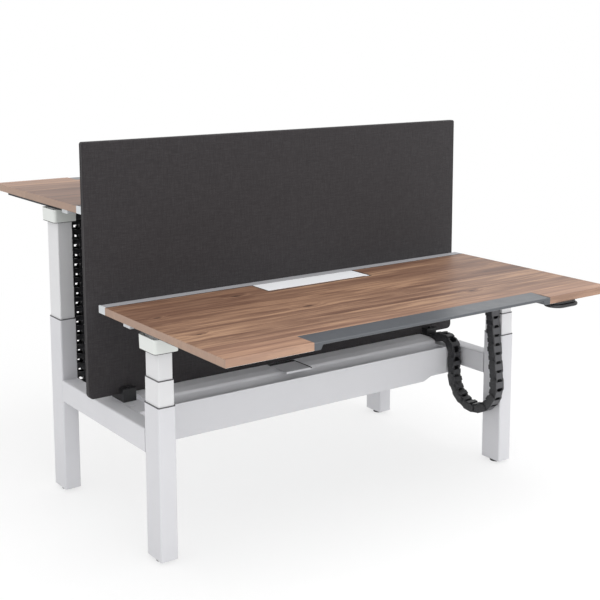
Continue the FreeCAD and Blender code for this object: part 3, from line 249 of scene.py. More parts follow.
def loft(rings, closed=False):
    """Points and faces of a skin drawn through rings of equal count. It is capped at its ends, or
    where it is closed the last ring joins the first."""
    count = len(rings[0])
    points = [point for ring in rings for point in ring]
    faces = []
    for level in range(len(rings) if closed else len(rings) - 1):
        low = level * count
        high = (level + 1) % len(rings) * count
        for step in range(count):
            after = (step + 1) % count
            faces.append([low + step, low + after, high + after, high + step])
    if not closed:
        faces.append(list(range(count)))
        faces.append(list(range(len(points) - count, len(points))))
    return points, faces


def rounded_outline(wide, high, radius, steps=8, lower=None):
    """Points of a rectangle with round corners about the origin, with another radius at the two
    lower ones where it is given."""
    points = []
    for corner, (right, up) in enumerate(((1, 1), (-1, 1), (-1, -1), (1, -1))):
        bend = radius if up > 0 or lower is None else lower
        for step in range(steps + 1):
            angle = (corner + step / steps) * math.pi / 2
            points.append((right * (wide / 2 - bend) + bend * math.cos(angle),
                           up * (high / 2 - bend) + bend * math.sin(angle)))
    return points


def add_box(points, faces, *spans):
    """Adds a box to a list of points and faces. It fills three spans, one for each axis, each
    given from either end."""
    (x0, x1), (y0, y1), (z0, z1) = [sorted(span) for span in spans]
    first = len(points)
    for z in (z0, z1):
        points += [(x0, y0, z), (x1, y0, z), (x1, y1, z), (x0, y1, z)]
    for side in ((0, 3, 2, 1), (4, 5, 6, 7), (0, 1, 5, 4), (1, 2, 6, 5), (2, 3, 7, 6), (3, 0, 4, 7)):
        faces.append([first + corner for corner in side])


def soften(piece, width, segments=2):
    """Rounds the hard edges of a piece as its own bevel."""
    bevel = piece.modifiers.new("rounding", "BEVEL")
    bevel.width = width
    bevel.segments = segments
    bevel.limit_method = "ANGLE"
    bevel.harden_normals = True
    for face in piece.data.polygons:
        face.use_smooth = True


# Moulded rubber, nearly black and without gloss
rubber = coated("black_rubber", "151516", "1E1E1F", "2C2C2D", 0.5 * MM, 0.02 * MM, 0.75)
# Inset from the outlet's edge and height above the flange at each corner of the collar's section
collar_section = [(COLLAR_WALL, -COLLAR_DEEP), (COLLAR_GAP, -COLLAR_DEEP), (COLLAR_GAP, COLLAR_GAP),
                  (-COLLAR_WALL, COLLAR_GAP), (-COLLAR_WALL, COLLAR_LIP), (COLLAR_WALL, COLLAR_LIP)]
# Each outlet gets a deep black collar that darkens the hole as painted shade
for end, way in DESKS.items():
    left, right = OUTLET_ACROSS
    front, back = OUTLET_ALONG
    rings = []
    for inset, height in collar_section:
        outline = rounded_outline(right - left - 2 * inset, back - front - 2 * inset,
                                  COLLAR_CORNER - inset, 4)
        rings.append([(way * (x + (left + right) / 2), way * (y + (front + back) / 2),
                       FLANGE_TOP + height) for x, y in outline])
    shade_collar = mesh_piece("outlet_shade_collar_" + end, *loft(rings, closed=True), rubber)
    soften(shade_collar, COLLAR_ROUND)
    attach(shade_collar, "base")
    points, faces = [], []
    add_box(points, faces, [way * x for x in EDGING_ACROSS], [way * y for y in EDGING_ALONG],
            EDGING_HEIGHT)
    edging = mesh_piece("bridge_edging_" + end, points, faces, rubber)
    soften(edging, EDGING_ROUND)
    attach(edging, "base")


# Frame and worktop screws. Steel, zinc-plated and slightly mottled under the worktops, and
# black-passivated where the screen clamps and chain brackets are bolted down.
zinc = machined("zinc_plated_steel", "B4B4B2", "9C9C9E", 0.42, 1.5 * MM)
black_zinc = machined("black_passivated_steel", "303033", "28282A", 0.5, 1.5 * MM)
dress(black_zinc, "frame_screws")
dress(zinc, "desk_screws_front", "desk_screws_rear", "flap_hinge_pins_front",
      "flap_hinge_pins_rear")


# Screen. A board wrapped in charcoal woven cloth: the cloth turns softly over the edges and is
# joined all round by one flat seam in the middle of the thickness.
THREAD_PITCH = 1.1 * MM
SLUB_LONG = 35 * MM
WEAVE_DEPTH = 0.25 * MM
TOP_CORNER = 8 * MM
BOTTOM_CORNER = 20 * MM
SCREEN_ROUND = 5 * MM
ROUND_STEPS = 6
SEAM_DEPTH = 0.8 * MM
SEAM_HALF = 1.5 * MM
SHARP_DEGREES = 35
# A wave texture of scale s repeats every WAVE_TURN / s
WAVE_TURN = math.pi / 10


def woven(name, tones, thread, slub):
    """Plain-weave cloth: threads over and under at their real pitch, thick stretches in some of
    them, mottled yarn colour and a soft sheen. Tones run from dark to light."""
    material, tree, surface = start_material(name, {"Sheen Weight": 0.1, "Sheen Roughness": 0.6,
                                                    "Specular IOR Level": 0.2})
    where = add(tree, "TexCoord").outputs["Object"]
    threads = []
    slubs = []
    for direction, along in (("X", 2), ("Z", 0)):
        band = add(tree, "TexWave", {"bands_direction": direction, "Scale": WAVE_TURN / thread,
                                     "Distortion": 0.4, "Detail": 1}, {"Vector": where})
        threads.append(band.outputs["Fac"])
        sizes = [3 * thread] * 3
        sizes[along] = slub
        thickening = stretched(tree, "TexNoise", where, sizes, {"Detail": 3})
        slubs.append(thickening.outputs["Fac"])
    cross = add(tree, "Math", {"operation": "MULTIPLY"}, {0: threads[0], 1: threads[1]})
    yarn = add(tree, "Math", {"operation": "MULTIPLY"}, {0: slubs[0], 1: slubs[1]})
    mottle = add(tree, "TexNoise", {"Scale": 1 / (2 * thread), "Detail": 2}, {"Vector": where})
    mix = add(tree, "Math", {"operation": "MULTIPLY"},
              {0: yarn.outputs["Value"], 1: mottle.outputs["Fac"]})
    stops = [(0.06, linear(tones[0])), (0.13, linear(tones[1])), (0.22, linear(tones[2]))]
    colour = add(tree, "ValToRGB", {"stops": stops}, {"Fac": mix.outputs["Value"]})
    shaded = add(tree, "MixRGB", {"blend_type": "MULTIPLY", "Fac": 0.3},
                 {"Color1": colour.outputs["Color"], "Color2": cross.outputs["Value"]})
    height = add(tree, "Math", {"operation": "MULTIPLY_ADD", 1: 0.6},
                 {0: cross.outputs["Value"], 2: yarn.outputs["Value"]})
    bump = add(tree, "Bump", {"Strength": 0.7, "Distance": WEAVE_DEPTH},
               {"Height": height.outputs["Value"]})
    gloss = add(tree, "MapRange", {"To Min": 0.82, "To Max": 0.95}, {"Value": mottle.outputs["Fac"]})
    connect(tree, surface, shaded, bump, gloss)
    return material


# Polyester cloth in plain weave, charcoal with lighter slubs
cloth = woven("charcoal_woven_cloth", ("312E30", "383537", "403D3F"), THREAD_PITCH, SLUB_LONG)
low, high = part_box("screen_panel")
half_thick = (high.y - low.y) / 2
# Inset from the outline and place across the thickness, from the front face round to the rear
edge_profile = []
for step in range(ROUND_STEPS + 1):
    angle = step / ROUND_STEPS * math.pi / 2
    edge_profile.append((SCREEN_ROUND * (1 - math.sin(angle)),
                         SCREEN_ROUND * (1 - math.cos(angle)) - half_thick))
edge_profile += [(0, -SEAM_HALF), (SEAM_DEPTH, 0)]
edge_profile += [(inset, -y) for inset, y in reversed(edge_profile[:-1])]
rings = []
for inset, y in edge_profile:
    outline = rounded_outline(high.x - low.x - 2 * inset, high.z - low.z - 2 * inset,
                              TOP_CORNER - inset, lower=BOTTOM_CORNER - inset)
    rings.append([(x, y, (low.z + high.z) / 2 + z) for x, z in outline])
screen = mesh_piece("cloth_screen", *loft(rings), cloth, smooth=True)
screen.data.set_sharp_from_angle(angle=math.radians(SHARP_DEGREES))
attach(screen, "base")
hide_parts("screen_panel")


# Screen clamps and chain brackets. Glass-filled nylon, black, with a fine eroded texture that
# breaks up its highlights.
glass_nylon = coated("black_glass_filled_nylon", "18181A", "202022", "363638", 1 * MM, 0.05 * MM, 0.5)
dress(glass_nylon, "screen_clamps", "chain_base_fittings", "chain_top_fitting_front",
      "chain_top_fitting_rear")


# Upper tubes of the columns. Drawn steel tubes that slide out of the base, with a slightly whiter
# and smoother coat than the base has.
tube_coat = coated("white_grey_powder_coat", "DFDFE0", "D9D9DB", "ECECEC", 1.2 * MM, 0.025 * MM, 0.42)
dress(tube_coat, "middle_tube_front_left", "middle_tube_front_right", "inner_tube_front_left",
      "inner_tube_front_right", "inner_tube_rear_left", "inner_tube_rear_right")


# Column heads. Die-cast aluminium housings with draft on their sides, painted a faintly green
# off-white over the slightly uneven cast skin, each on a black rubber gasket.
cast_coat = coated("painted_die_cast_aluminium", "E3E6E2", "DCDFDC", "F2F3F1", 1.6 * MM, 0.04 * MM, 0.4)
dress(cast_coat, "cap_housing_front_left", "cap_housing_front_right", "cap_housing_rear_left",
      "cap_housing_rear_right")
dress(rubber, "cap_gaskets_front", "cap_gaskets_rear")


# Side arms and crossbars. Folded and drawn steel under the worktop, matt black. A light grey
# plastic sleeve is pushed over the rear end of each arm and covers its cut edges.
ARM_INSIDE = 707.7 * MM
SLEEVE_LONG = 46 * MM
SLEEVE_PROUD = 0.8 * MM
SLEEVE_CORNER = 2 * MM
SLEEVE_ROUND = 0.8 * MM
black_coat = coated("matt_black_powder_coat", "1F1F22", "27272A", "3B3B3E", 1.2 * MM, 0.04 * MM, 0.58)
dress(black_coat, "side_arms_front", "side_arms_rear", "crossbar_front", "crossbar_rear")
# Moulded plastic, smooth and a little glossier than the coats
sleeve_plastic = coated("light_grey_moulded_plastic", "C9CBCE", "C0C2C5", "D8D9DB", 0.9 * MM,
                        0.02 * MM, 0.45)
for end, way in DESKS.items():
    low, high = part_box("side_arms_" + end)
    arm_half = (high.x - ARM_INSIDE) / 2
    arm_centre = high.x - arm_half
    arm_end = -way * min(abs(low.y), abs(high.y))
    for side in (-1, 1):
        rings = []
        for y in (arm_end + way * SLEEVE_PROUD, arm_end - way * SLEEVE_LONG):
            outline = rounded_outline(2 * (arm_half + SLEEVE_PROUD), high.z - low.z, SLEEVE_CORNER, 3)
            rings.append([(side * arm_centre + x, y, (low.z + high.z) / 2 - SLEEVE_PROUD + z)
                          for x, z in outline])
        name = "arm_sleeve_%s_%s" % (end, "left" if side * way < 0 else "right")
        sleeve = mesh_piece(name, *loft(rings), sleeve_plastic)
        soften(sleeve, SLEEVE_ROUND)
        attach(sleeve, end + "_desk")


# Worktops. Particle board with a rustic oak decor: wide boards of uneven tone run along the
# desk, the lightest one in front, with dark veins, pores and a few knots. Glued bands close the
# edges, plainer at the ends than in front, and a white balancing sheet covers the underside.
BOARD_LONG = 2400 * MM
BOARD_WIDE = 145 * MM
BOARD_START = (1200 * MM, 30 * MM, 0)
BOARD_JUMP = (3100 * MM, 700 * MM, 0)
LIGHT_BOARD = (670 * MM, 800 * MM)
STREAK_SIZE = (454.5 * MM, 33.3 * MM, 33.3 * MM)
VEIN_SIZE = (2857 * MM, 200 * MM, 200 * MM)
VEIN_PITCH = 44.9 * MM
ZONE_SIZE = (1111 * MM, 142.9 * MM, 142.9 * MM)
# Real pores are too fine to show in the render, so these are several times as wide
PORE_SIZE = (111 * MM, 2.38 * MM, 2.38 * MM)
PORE_DEPTH = 0.06 * MM
KNOT_SWIRL = 30 * MM
BAND_EDGE = 1 * MM
# Place and radius of each knot
KNOTS = [(-726 * MM, -321 * MM, 6 * MM), (-720 * MM, -573 * MM, 5 * MM), (-244 * MM, -469 * MM, 8 * MM),
         (-360 * MM, -210 * MM, 8 * MM), (350 * MM, -620 * MM, 6 * MM)]


def nearest_knot(tree, where):
    """Distance to the nearest knot, in knot radii. Knots are twice as long as they are wide."""
    nearest = None
    for x, y, size in KNOTS:
        gap = add(tree, "VectorMath", {"operation": "SUBTRACT", 1: (x, y, 0)}, {0: where})
        oval = add(tree, "VectorMath", {"operation": "MULTIPLY", 1: (0.5 / size, 1 / size, 0)},
                   {0: gap.outputs["Vector"]})
        far = add(tree, "VectorMath", {"operation": "LENGTH"}, {0: oval.outputs["Vector"]})
        if nearest is None:
            nearest = far.outputs["Value"]
        else:
            both = add(tree, "Math", {"operation": "MINIMUM"}, {0: nearest, 1: far.outputs["Value"]})
            nearest = both.outputs["Value"]
    return nearest


def printed_oak(tree, where, boards, grain):
    """Colour of the decor without its knots, and its streaks and pores. Boards is the tone of
    each board, and grain the place in the print, bent round the knots."""
    streaks = stretched(tree, "TexNoise", grain, STREAK_SIZE,
                        {"Detail": 8, "Roughness": 0.66, "Distortion": 1.3})
    pores = stretched(tree, "TexNoise", grain, PORE_SIZE, {"Detail": 3, "Roughness": 0.6})
    veins = stretched(tree, "TexWave", grain, VEIN_SIZE,
                      {"bands_direction": "Y", "Scale": WAVE_TURN * VEIN_SIZE[1] / VEIN_PITCH,
                       "Distortion": 9, "Detail": 4, "Detail Scale": 1.3, "Detail Roughness": 0.55})
    zones = stretched(tree, "TexNoise", grain, ZONE_SIZE,
                      {"Detail": 3, "Roughness": 0.5, "Distortion": 0.5})
    figure = add(tree, "Math", {"operation": "MULTIPLY_ADD", 1: 0.7},
                 {0: zones.outputs["Fac"], 2: streaks.outputs["Fac"]})
    ground = add(tree, "ValToRGB", {"stops": [(0.62, linear("563A2B")), (0.73, linear("715140")),
                                              (0.86, linear("846450")), (1, linear("AC886D"))]},
                 {"Fac": figure.outputs["Value"]})
    board_tone = add(tree, "ValToRGB", {"stops": [(0, linear("BCA69E")), (1, linear("FFFFFF"))]},
                     {"Fac": boards})
    tinted = add(tree, "MixRGB", {"blend_type": "MULTIPLY", "Fac": 0.3},
                 {"Color1": ground.outputs["Color"], "Color2": board_tone.outputs["Color"]})
    place = add(tree, "SeparateXYZ", None, {"Vector": where})
    out = add(tree, "Math", {"operation": "ABSOLUTE"}, {0: place.outputs["Y"]})
    in_front = add(tree, "MapRange", {"From Min": LIGHT_BOARD[0], "From Max": LIGHT_BOARD[1],
                                      "To Max": 0.45}, {"Value": out.outputs["Value"]})
    bright = add(tree, "MixRGB", {"Color2": linear("BC937A")},
                 {"Fac": in_front.outputs["Result"], "Color1": tinted.outputs["Color"]})
    vein_line = add(tree, "MapRange", {"From Min": 0.84, "From Max": 1, "To Max": 0.5},
                    {"Value": veins.outputs["Fac"]})
    veined = add(tree, "MixRGB", {"Color2": linear("634436")},
                 {"Fac": vein_line.outputs["Result"], "Color1": bright.outputs["Color"]})
    pore_line = add(tree, "MapRange", {"From Min": 0.42, "From Max": 0.3, "To Max": 0.4},
                    {"Value": pores.outputs["Fac"]})
    pored = add(tree, "MixRGB", {"Color2": linear("75533F")},
                {"Fac": pore_line.outputs["Result"], "Color1": veined.outputs["Color"]})
    return pored.outputs["Color"], streaks.outputs["Fac"], pores.outputs["Fac"]


def oak_laminate(name):
    """The printed decor on top, its bands on the edges and the balancing sheet underneath, told
    apart by the way that a face looks."""
    material, tree, surface = start_material(name, {})
    where = add(tree, "TexCoord").outputs["Object"]
    laid = add(tree, "Mapping", {"Location": BOARD_START}, {"Vector": where})
    rows = add(tree, "TexBrick", {"offset": 0, "Color1": (0, 0, 0, 1), "Color2": (1, 1, 1, 1),
                                  "Scale": 1, "Mortar Size": 0, "Brick Width": BOARD_LONG,
                                  "Row Height": BOARD_WIDE}, {"Vector": laid.outputs["Vector"]})
    boards = rows.outputs["Color"]
    shuffled = add(tree, "VectorMath", {"operation": "MULTIPLY_ADD", 1: BOARD_JUMP},
                   {0: boards, 2: where})
    knots = nearest_knot(tree, where)
    swirl = add(tree, "MapRange", {"From Min": 0, "From Max": 5, "To Min": KNOT_SWIRL, "To Max": 0},
                {"Value": knots})
    bent = add(tree, "VectorMath", {"operation": "ADD"},
               {0: shuffled.outputs["Vector"], 1: swirl.outputs["Result"]})
    printed, streaks, pores = printed_oak(tree, where, boards, bent.outputs["Vector"])
    knot_core = add(tree, "MapRange", {"From Min": 1.5, "From Max": 0.5, "To Max": 0.85},
                    {"Value": knots})
    top_face = add(tree, "MixRGB", {"Color2": linear("3A241C")},
                   {"Fac": knot_core.outputs["Result"], "Color1": printed})
    normal = add(tree, "NewGeometry").outputs["Normal"]
    facing = add(tree, "SeparateXYZ", None, {"Vector": normal}).outputs
    endways = add(tree, "Math", {"operation": "ABSOLUTE"}, {0: facing["X"]})
    plain = add(tree, "MapRange", {"From Min": 0.3, "From Max": 0.7, "To Min": 0.35, "To Max": 0.8},
                {"Value": endways.outputs["Value"]})
    band = add(tree, "MixRGB", {"Color2": linear("A98D7B")},
               {"Fac": plain.outputs["Result"], "Color1": printed})
    is_top = add(tree, "MapRange", {"From Min": 0.3, "From Max": 0.7}, {"Value": facing["Z"]})
    is_under = add(tree, "MapRange", {"From Min": -0.3, "From Max": -0.7}, {"Value": facing["Z"]})
    edge, soft = edge_wear(tree, where, BAND_EDGE)
    backed = add(tree, "MixRGB", {"Color2": linear("F2F2F0")},
                 {"Fac": is_under.outputs["Result"], "Color1": band.outputs["Color"]})
    colour = add(tree, "MixRGB", None, {"Fac": is_top.outputs["Result"],
                                        "Color1": backed.outputs["Color"],
                                        "Color2": top_face.outputs["Color"]})
    rubbed = add(tree, "MixRGB", {"Color2": linear("BDA495")},
                 {"Fac": edge, "Color1": colour.outputs["Color"]})
    bump = add(tree, "Bump", {"Strength": 0.35, "Distance": PORE_DEPTH}, {"Height": pores, "Normal": soft})
    gloss = add(tree, "MapRange", {"To Min": 0.38, "To Max": 0.56}, {"Value": streaks})
    connect(tree, surface, rubbed, bump, gloss)
    return material


# Laminate with a printed oak grain and pores pressed into it, satin
wood = oak_laminate("rustic_oak_laminate")
dress(wood, "desktop_front", "desktop_rear")


# Edge inserts. Mid grey plastic, moulded with a fine satin texture and let into the front edge of
# each worktop.
insert_plastic = coated("grey_moulded_insert", "55585D", "4F5256", "6E7175", 0.9 * MM, 0.03 * MM, 0.34)
dress(insert_plastic, "edge_insert_front", "edge_insert_rear")


# Rear rails. Aluminium extrusions, satin-anodised, so the surface scatters light softly. A pale
# moulded cap closes each end, and a black rubber strip fills the joint to the worktop as far as
# the black strip of painted shade round the cable flap.
CAP_LONG = 4 * MM
CAP_PROUD = 0.4 * MM
CAP_CORNER = 2 * MM
CAP_ROUND = 0.4 * MM
STRIP_WIDE = 3.5 * MM
STRIP_DEEP = 1.2 * MM
STRIP_PROUD = 0.4 * MM
STRIP_ROUND = 0.2 * MM
# Width of the black strip of painted shade round each cable flap
FLAP_SHADE_WIDE = 4.5 * MM


def prism(points, faces, outline, start, end):
    """Adds an outline in the Y-Z plane drawn out along X."""
    first = len(points)
    count = len(outline)
    points += [(start, y, z) for y, z in outline] + [(end, y, z) for y, z in outline]
    faces.append([first + step for step in range(count)])
    faces.append([first + count + step for step in range(count)])
    for step in range(count):
        after = (step + 1) % count
        faces.append([first + step, first + after, first + count + after, first + count + step])


anodised = coated("satin_anodised_aluminium", "A3A3A6", "9A9A9E", "BCBCBE", 0.5 * MM, 0.01 * MM, 0.5)
dress(anodised, "rear_rail_front", "rear_rail_rear")
# Moulded plastic, nearly white and smooth
cap_plastic = coated("pale_end_cap_plastic", "D6DADD", "CDD1D4", "E6E8EA", 0.8 * MM, 0.02 * MM, 0.4)
for end, way in DESKS.items():
    low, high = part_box("rear_rail_" + end)
    joint = low.y if way > 0 else high.y
    flap_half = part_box("cable_flap_" + end)[1].x + FLAP_SHADE_WIDE
    points, faces = [], []
    for across in ((low.x + CAP_LONG, -flap_half), (flap_half, high.x - CAP_LONG)):
        add_box(points, faces, across, (joint - way * STRIP_WIDE, joint),
                (high.z - STRIP_DEEP, high.z + STRIP_PROUD))
    strip = mesh_piece("rail_joint_strip_" + end, points, faces, rubber)
    soften(strip, STRIP_ROUND, 1)
    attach(strip, end + "_desk")
    outline = rounded_outline(high.y - low.y + 2 * CAP_PROUD, high.z - low.z + 2 * CAP_PROUD,
                              CAP_CORNER, 3)
    section = [((low.y + high.y) / 2 + y, (low.z + high.z) / 2 + z) for y, z in outline]
    points, faces = [], []
    for side in (-1, 1):
        prism(points, faces, section, side * (high.x - CAP_LONG), side * (high.x + CAP_PROUD))
    caps = mesh_piece("rail_end_caps_" + end, points, faces, cap_plastic)
    soften(caps, CAP_ROUND)
    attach(caps, end + "_desk")


# Cable flaps. Aluminium lids with a smooth silver-white coat. A thin black strip lines the
# cut-out in the worktop on the three sides that the lid closes against, as painted shade in the
# gap round the lid.
FLAP_SHADE_GAP = 1 * MM
FLAP_SHADE_HIGH = 0.5 * MM
FLAP_SHADE_ROUND = 0.2 * MM
flap_coat = coated("silver_white_coat", "F6F7F9", "F2F3F6", "FAFAFB", 0.7 * MM, 0.01 * MM, 0.35)
dress(flap_coat, "cable_flap_front", "cable_flap_rear")
# The black strip round each lid is painted shade of the gap between lid and worktop
for end, way in DESKS.items():
    low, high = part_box("cable_flap_" + end)
    half = high.x + FLAP_SHADE_GAP
    inner = min(abs(low.y), abs(high.y))
    outer = max(abs(low.y), abs(high.y)) + FLAP_SHADE_GAP
    points, faces = [], []
    for across, out in (((-half - FLAP_SHADE_WIDE, -half), (inner, outer + FLAP_SHADE_WIDE)),
                        ((-half, half), (outer, outer + FLAP_SHADE_WIDE)),
                        ((half, half + FLAP_SHADE_WIDE), (inner, outer + FLAP_SHADE_WIDE))):
        add_box(points, faces, across, [-way * y for y in out],
                (high.z - FLAP_SHADE_HIGH, high.z + FLAP_SHADE_HIGH))
    flap_shade = mesh_piece("flap_painted_shade_" + end, points, faces, rubber)
    soften(flap_shade, FLAP_SHADE_ROUND, 1)
    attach(flap_shade, end + "_desk")


# Control boxes and handsets. Black ABS with a spark-eroded grain, so that it looks dull from
# most sides.
abs_plastic = coated("black_abs", "232325", "2B2B2E", "3F3F42", 0.7 * MM, 0.05 * MM, 0.45)
dress(abs_plastic, "control_box_front", "control_box_rear", "handset_body_front", "handset_body_rear",
      "handset_paddle_front", "handset_paddle_rear")


# Energy chains. Links of black nylon, inner and outer ones in turn, snap together at round
# hinges. Flat bars of the same nylon close the outer face, coloured lighter as a painted
# highlight, and raised lids that snap open close the inner one. Both leave a short slot
# between one link and the next.
CHAIN_WIDE = 44 * MM
CHAIN_THICK = 30 * MM
PLATE = 3 * MM
PLAY = 0.3 * MM
NOSE = 12 * MM
NOSE_STEPS = 8
BAR_SHARE = 0.7
BAR_PROUD = 0.2 * MM
LID_SHARE = 0.5
LID_PROUD = 5 * MM
LIP_WIDE = 7 * MM
LIP_THICK = 1.6 * MM
BOSS_RADIUS = 6 * MM
BOSS_PROUD = 1 * MM
BOSS_STEPS = 16
RIB_HALF = 1.2 * MM
LINK_ROUND = 0.35 * MM
LINKS = 29
# Places along each chain, out from the middle of the bench and up from the floor: where both
# start, the centre and radius of the hump, the radius and the height of the loop's centre, how
# far out the rising run stands, and the last hinge
START = (72 * MM, 445 * MM)
CHAINS = {
    "front": {"hump": (140 * MM, 412 * MM, 50 * MM), "loop": (120 * MM, 333 * MM), "far": 432 * MM,
              "top": (386 * MM, 735 * MM)},
    "rear": {"hump": (150 * MM, 430 * MM, 35 * MM), "loop": (75 * MM, 430 * MM), "far": 385 * MM,
             "top": (385 * MM, 1049 * MM)},
}


def arc(centre, radius, first, last, steps=24):
    """Points of an arc in the plane of a chain, angles in degrees up from straight out."""
    turns = [math.radians(first + (last - first) * step / steps) for step in range(steps + 1)]
    return [Vector((centre[0] + radius * math.cos(turn), centre[1] + radius * math.sin(turn)))
            for turn in turns]


def hinges(hump, loop, far, top):
    """Hinge points (out, height) at equal steps along a chain's path."""
    out, level, radius = hump
    reach = Vector(START) - Vector((out, level))
    tangent = math.degrees(math.atan2(reach.y, reach.x) - math.acos(radius / reach.length))
    bend, low = loop
    path = [Vector(START)]
    path += arc((out, level), radius, tangent, 0)
    path += arc((out + radius + bend, low), bend, 180, 270)
    path += arc((far - bend, low), bend, 270, 360)
    path.append(Vector(top))
    spans = [(b - a).length for a, b in zip(path, path[1:])]
    points = []
    for step in range(LINKS + 1):
        left = sum(spans) * step / LINKS
        number = 0
        while number < len(spans) - 1 and left > spans[number]:
            left -= spans[number]
            number += 1
        share = left / spans[number] if spans[number] else 0
        points.append(path[number].lerp(path[number + 1], min(share, 1)))
    return points


def link_parts(pitch, outside, with_bosses, lids):
    """Points and faces of one link from its first hinge along Y: two side plates, each with a rib
    and two lips, and the bars or lids that join them. Lids is the side of its face with raised
    lids."""
    points, faces = [], []
    half = CHAIN_THICK / 2
    outline = []
    for hinge, turn in ((pitch, -90), (0, 90)):
        for step in range(NOSE_STEPS + 1):
            angle = math.radians(turn + 180 * step / NOSE_STEPS)
            outline.append((hinge + NOSE * math.cos(angle), half * math.sin(angle)))
    turns = [2 * math.pi * step / BOSS_STEPS for step in range(BOSS_STEPS)]
    boss = [(BOSS_RADIUS * math.cos(turn), BOSS_RADIUS * math.sin(turn)) for turn in turns]
    for side in (-1, 1):
        prism(points, faces, outline, side * (outside - PLATE), side * outside)
        if with_bosses:
            for hinge in (0, pitch):
                prism(points, faces, [(hinge + y, z) for y, z in boss], side * (outside - PLATE / 2),
                      side * (outside + BOSS_PROUD))
        add_box(points, faces, (side * (outside - PLATE / 2), side * (outside + BOSS_PROUD / 2)),
                (pitch / 2 - RIB_HALF, pitch / 2 + RIB_HALF), (-half / 2, half / 2))
        for face in (-1, 1):
            add_box(points, faces, (side * (outside - PLATE), side * (outside - PLATE - LIP_WIDE)),
                    (0, pitch), (face * half, face * (half - LIP_THICK)))
    for face, share, proud, reach in ((lids, LID_SHARE, LID_PROUD, outside),
                                      (-lids, BAR_SHARE, BAR_PROUD, outside - PLATE)):
        start = pitch * (1 - share) / 2
        add_box(points, faces, (-reach, reach), (start, pitch - start),
                (face * (half + proud), face * (half - PLATE)))
    return points, faces


def chain_link(pitch, inner, lids):
    """One link with its edges broken: its points, its polygons, and which of these lie on the
    outer bar."""
    outside = CHAIN_WIDE / 2 - (PLATE + PLAY if inner else 0)
    points, faces = link_parts(pitch, outside, not inner, lids)
    skin = bmesh.new()
    corners = [skin.verts.new(point) for point in points]
    for face in faces:
        skin.faces.new([corners[number] for number in face])
    bmesh.ops.recalc_face_normals(skin, faces=skin.faces)
    bmesh.ops.bevel(skin, geom=skin.edges[:], offset=LINK_ROUND, segments=1, affect="EDGES",
                    clamp_overlap=True)
    skin.verts.index_update()
    points = [vertex.co.copy() for vertex in skin.verts]
    polygons = [[vertex.index for vertex in face.verts] for face in skin.faces]
    middles = [face.calc_center_median() for face in skin.faces]
    skin.free()
    on_bar = [-lids * middle.z > CHAIN_THICK / 2 - PLATE / 2
              and abs(middle.x) < outside - PLATE - LIP_WIDE for middle in middles]
    return points, polygons, on_bar


def chain_piece(name, end, path, numbers, material, highlight_bar_material):
    """A run of links of one chain as a single mesh, with a painted highlight on the outer bars."""
    way = DESKS[end]
    place = way * (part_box("chain_top_fitting_front")[0].x + CHAIN_WIDE / 2)
    pitch = (path[-1] - path[-2]).length
    kinds = {inner: chain_link(pitch, inner, -way) for inner in (True, False)}
    points, faces, on_bars = [], [], []
    for number in numbers:
        start, after = path[number], path[number + 1]
        along = Vector((0, -way * (after.x - start.x), after.y - start.y)).normalized()
        across = Vector((1, 0, 0))
        turn = Matrix((across, along, across.cross(along))).transposed()
        hinge = Vector((place, -way * start.x, start.y))
        link_points, link_faces, on_bar = kinds[number % 2 == 0]
        faces += [[index + len(points) for index in face] for face in link_faces]
        points += [hinge + turn @ point for point in link_points]
        on_bars += on_bar
    piece = mesh_piece(name, points, faces, material)
    # The lighter second material on the outer bars is a painted highlight
    piece.data.materials.append(highlight_bar_material)
    for face, on_bar in zip(piece.data.polygons, on_bars):
        face.material_index = 1 if on_bar else 0
    return piece


# Moulded nylon, greyed by scuffs where the links rub, and a lighter copy of it on the outer bars as a
# painted highlight
chain_nylon = coated("scuffed_black_nylon", "1E1E21", "2C2C2F", "5A5A5C", 0.9 * MM, 0.04 * MM, 0.42)
highlight_bar_nylon = coated("nylon_painted_highlight", "535356", "464649", "6E6E70", 0.9 * MM, 0.04 * MM, 0.5)
for end, sizes in CHAINS.items():
    path = hinges(**sizes)
    lowest = min(range(LINKS + 1), key=lambda number: path[number].y)
    still = chain_piece("chain_loop_links_" + end, end, path, range(lowest), chain_nylon, highlight_bar_nylon)
    rising = chain_piece("chain_rising_links_" + end, end, path, range(lowest, LINKS), chain_nylon,
                         highlight_bar_nylon)
    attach(still, "base")
    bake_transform(rising)
    if end == "front":
        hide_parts("chain_loop_front")
        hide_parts("chain_riser_front")
    else:
        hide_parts("cable_chain_rear")


# Floor and studio. A seamless white floor that keeps a soft shadow, an even white surround and
# two large soft lamps. None of it belongs to the object.
AMBIENT = 0.94
FLOOR_HALF = 20
# Share of the surround's white that directly seen floor has near the object, and how far from the
# middle it starts and ends to fade into it
FLOOR_WHITENING = 0.66
FADE_START = 1.6
FADE_END = 3.6
LAMP_AIM = (0, 0, 0.6)
# Place, width and watts of each lamp
LAMPS = {
    "front_softbox": ((-1.0, -5.2, 2.4), 3.0, 46),
    "top_softbox": ((0.5, -1.8, 4.4), 3.2, 74),
}


def seen_directly(tree):
    """1 for rays from the camera and for reflections and transmissions, otherwise 0."""
    path = add(tree, "LightPath")
    either = add(tree, "Math", {"operation": "MAXIMUM"},
                 {0: path.outputs["Is Camera Ray"], 1: path.outputs["Is Glossy Ray"]})
    return add(tree, "Math", {"operation": "MAXIMUM"},
               {0: either.outputs["Value"], 1: path.outputs["Is Transmission Ray"]}).outputs["Value"]


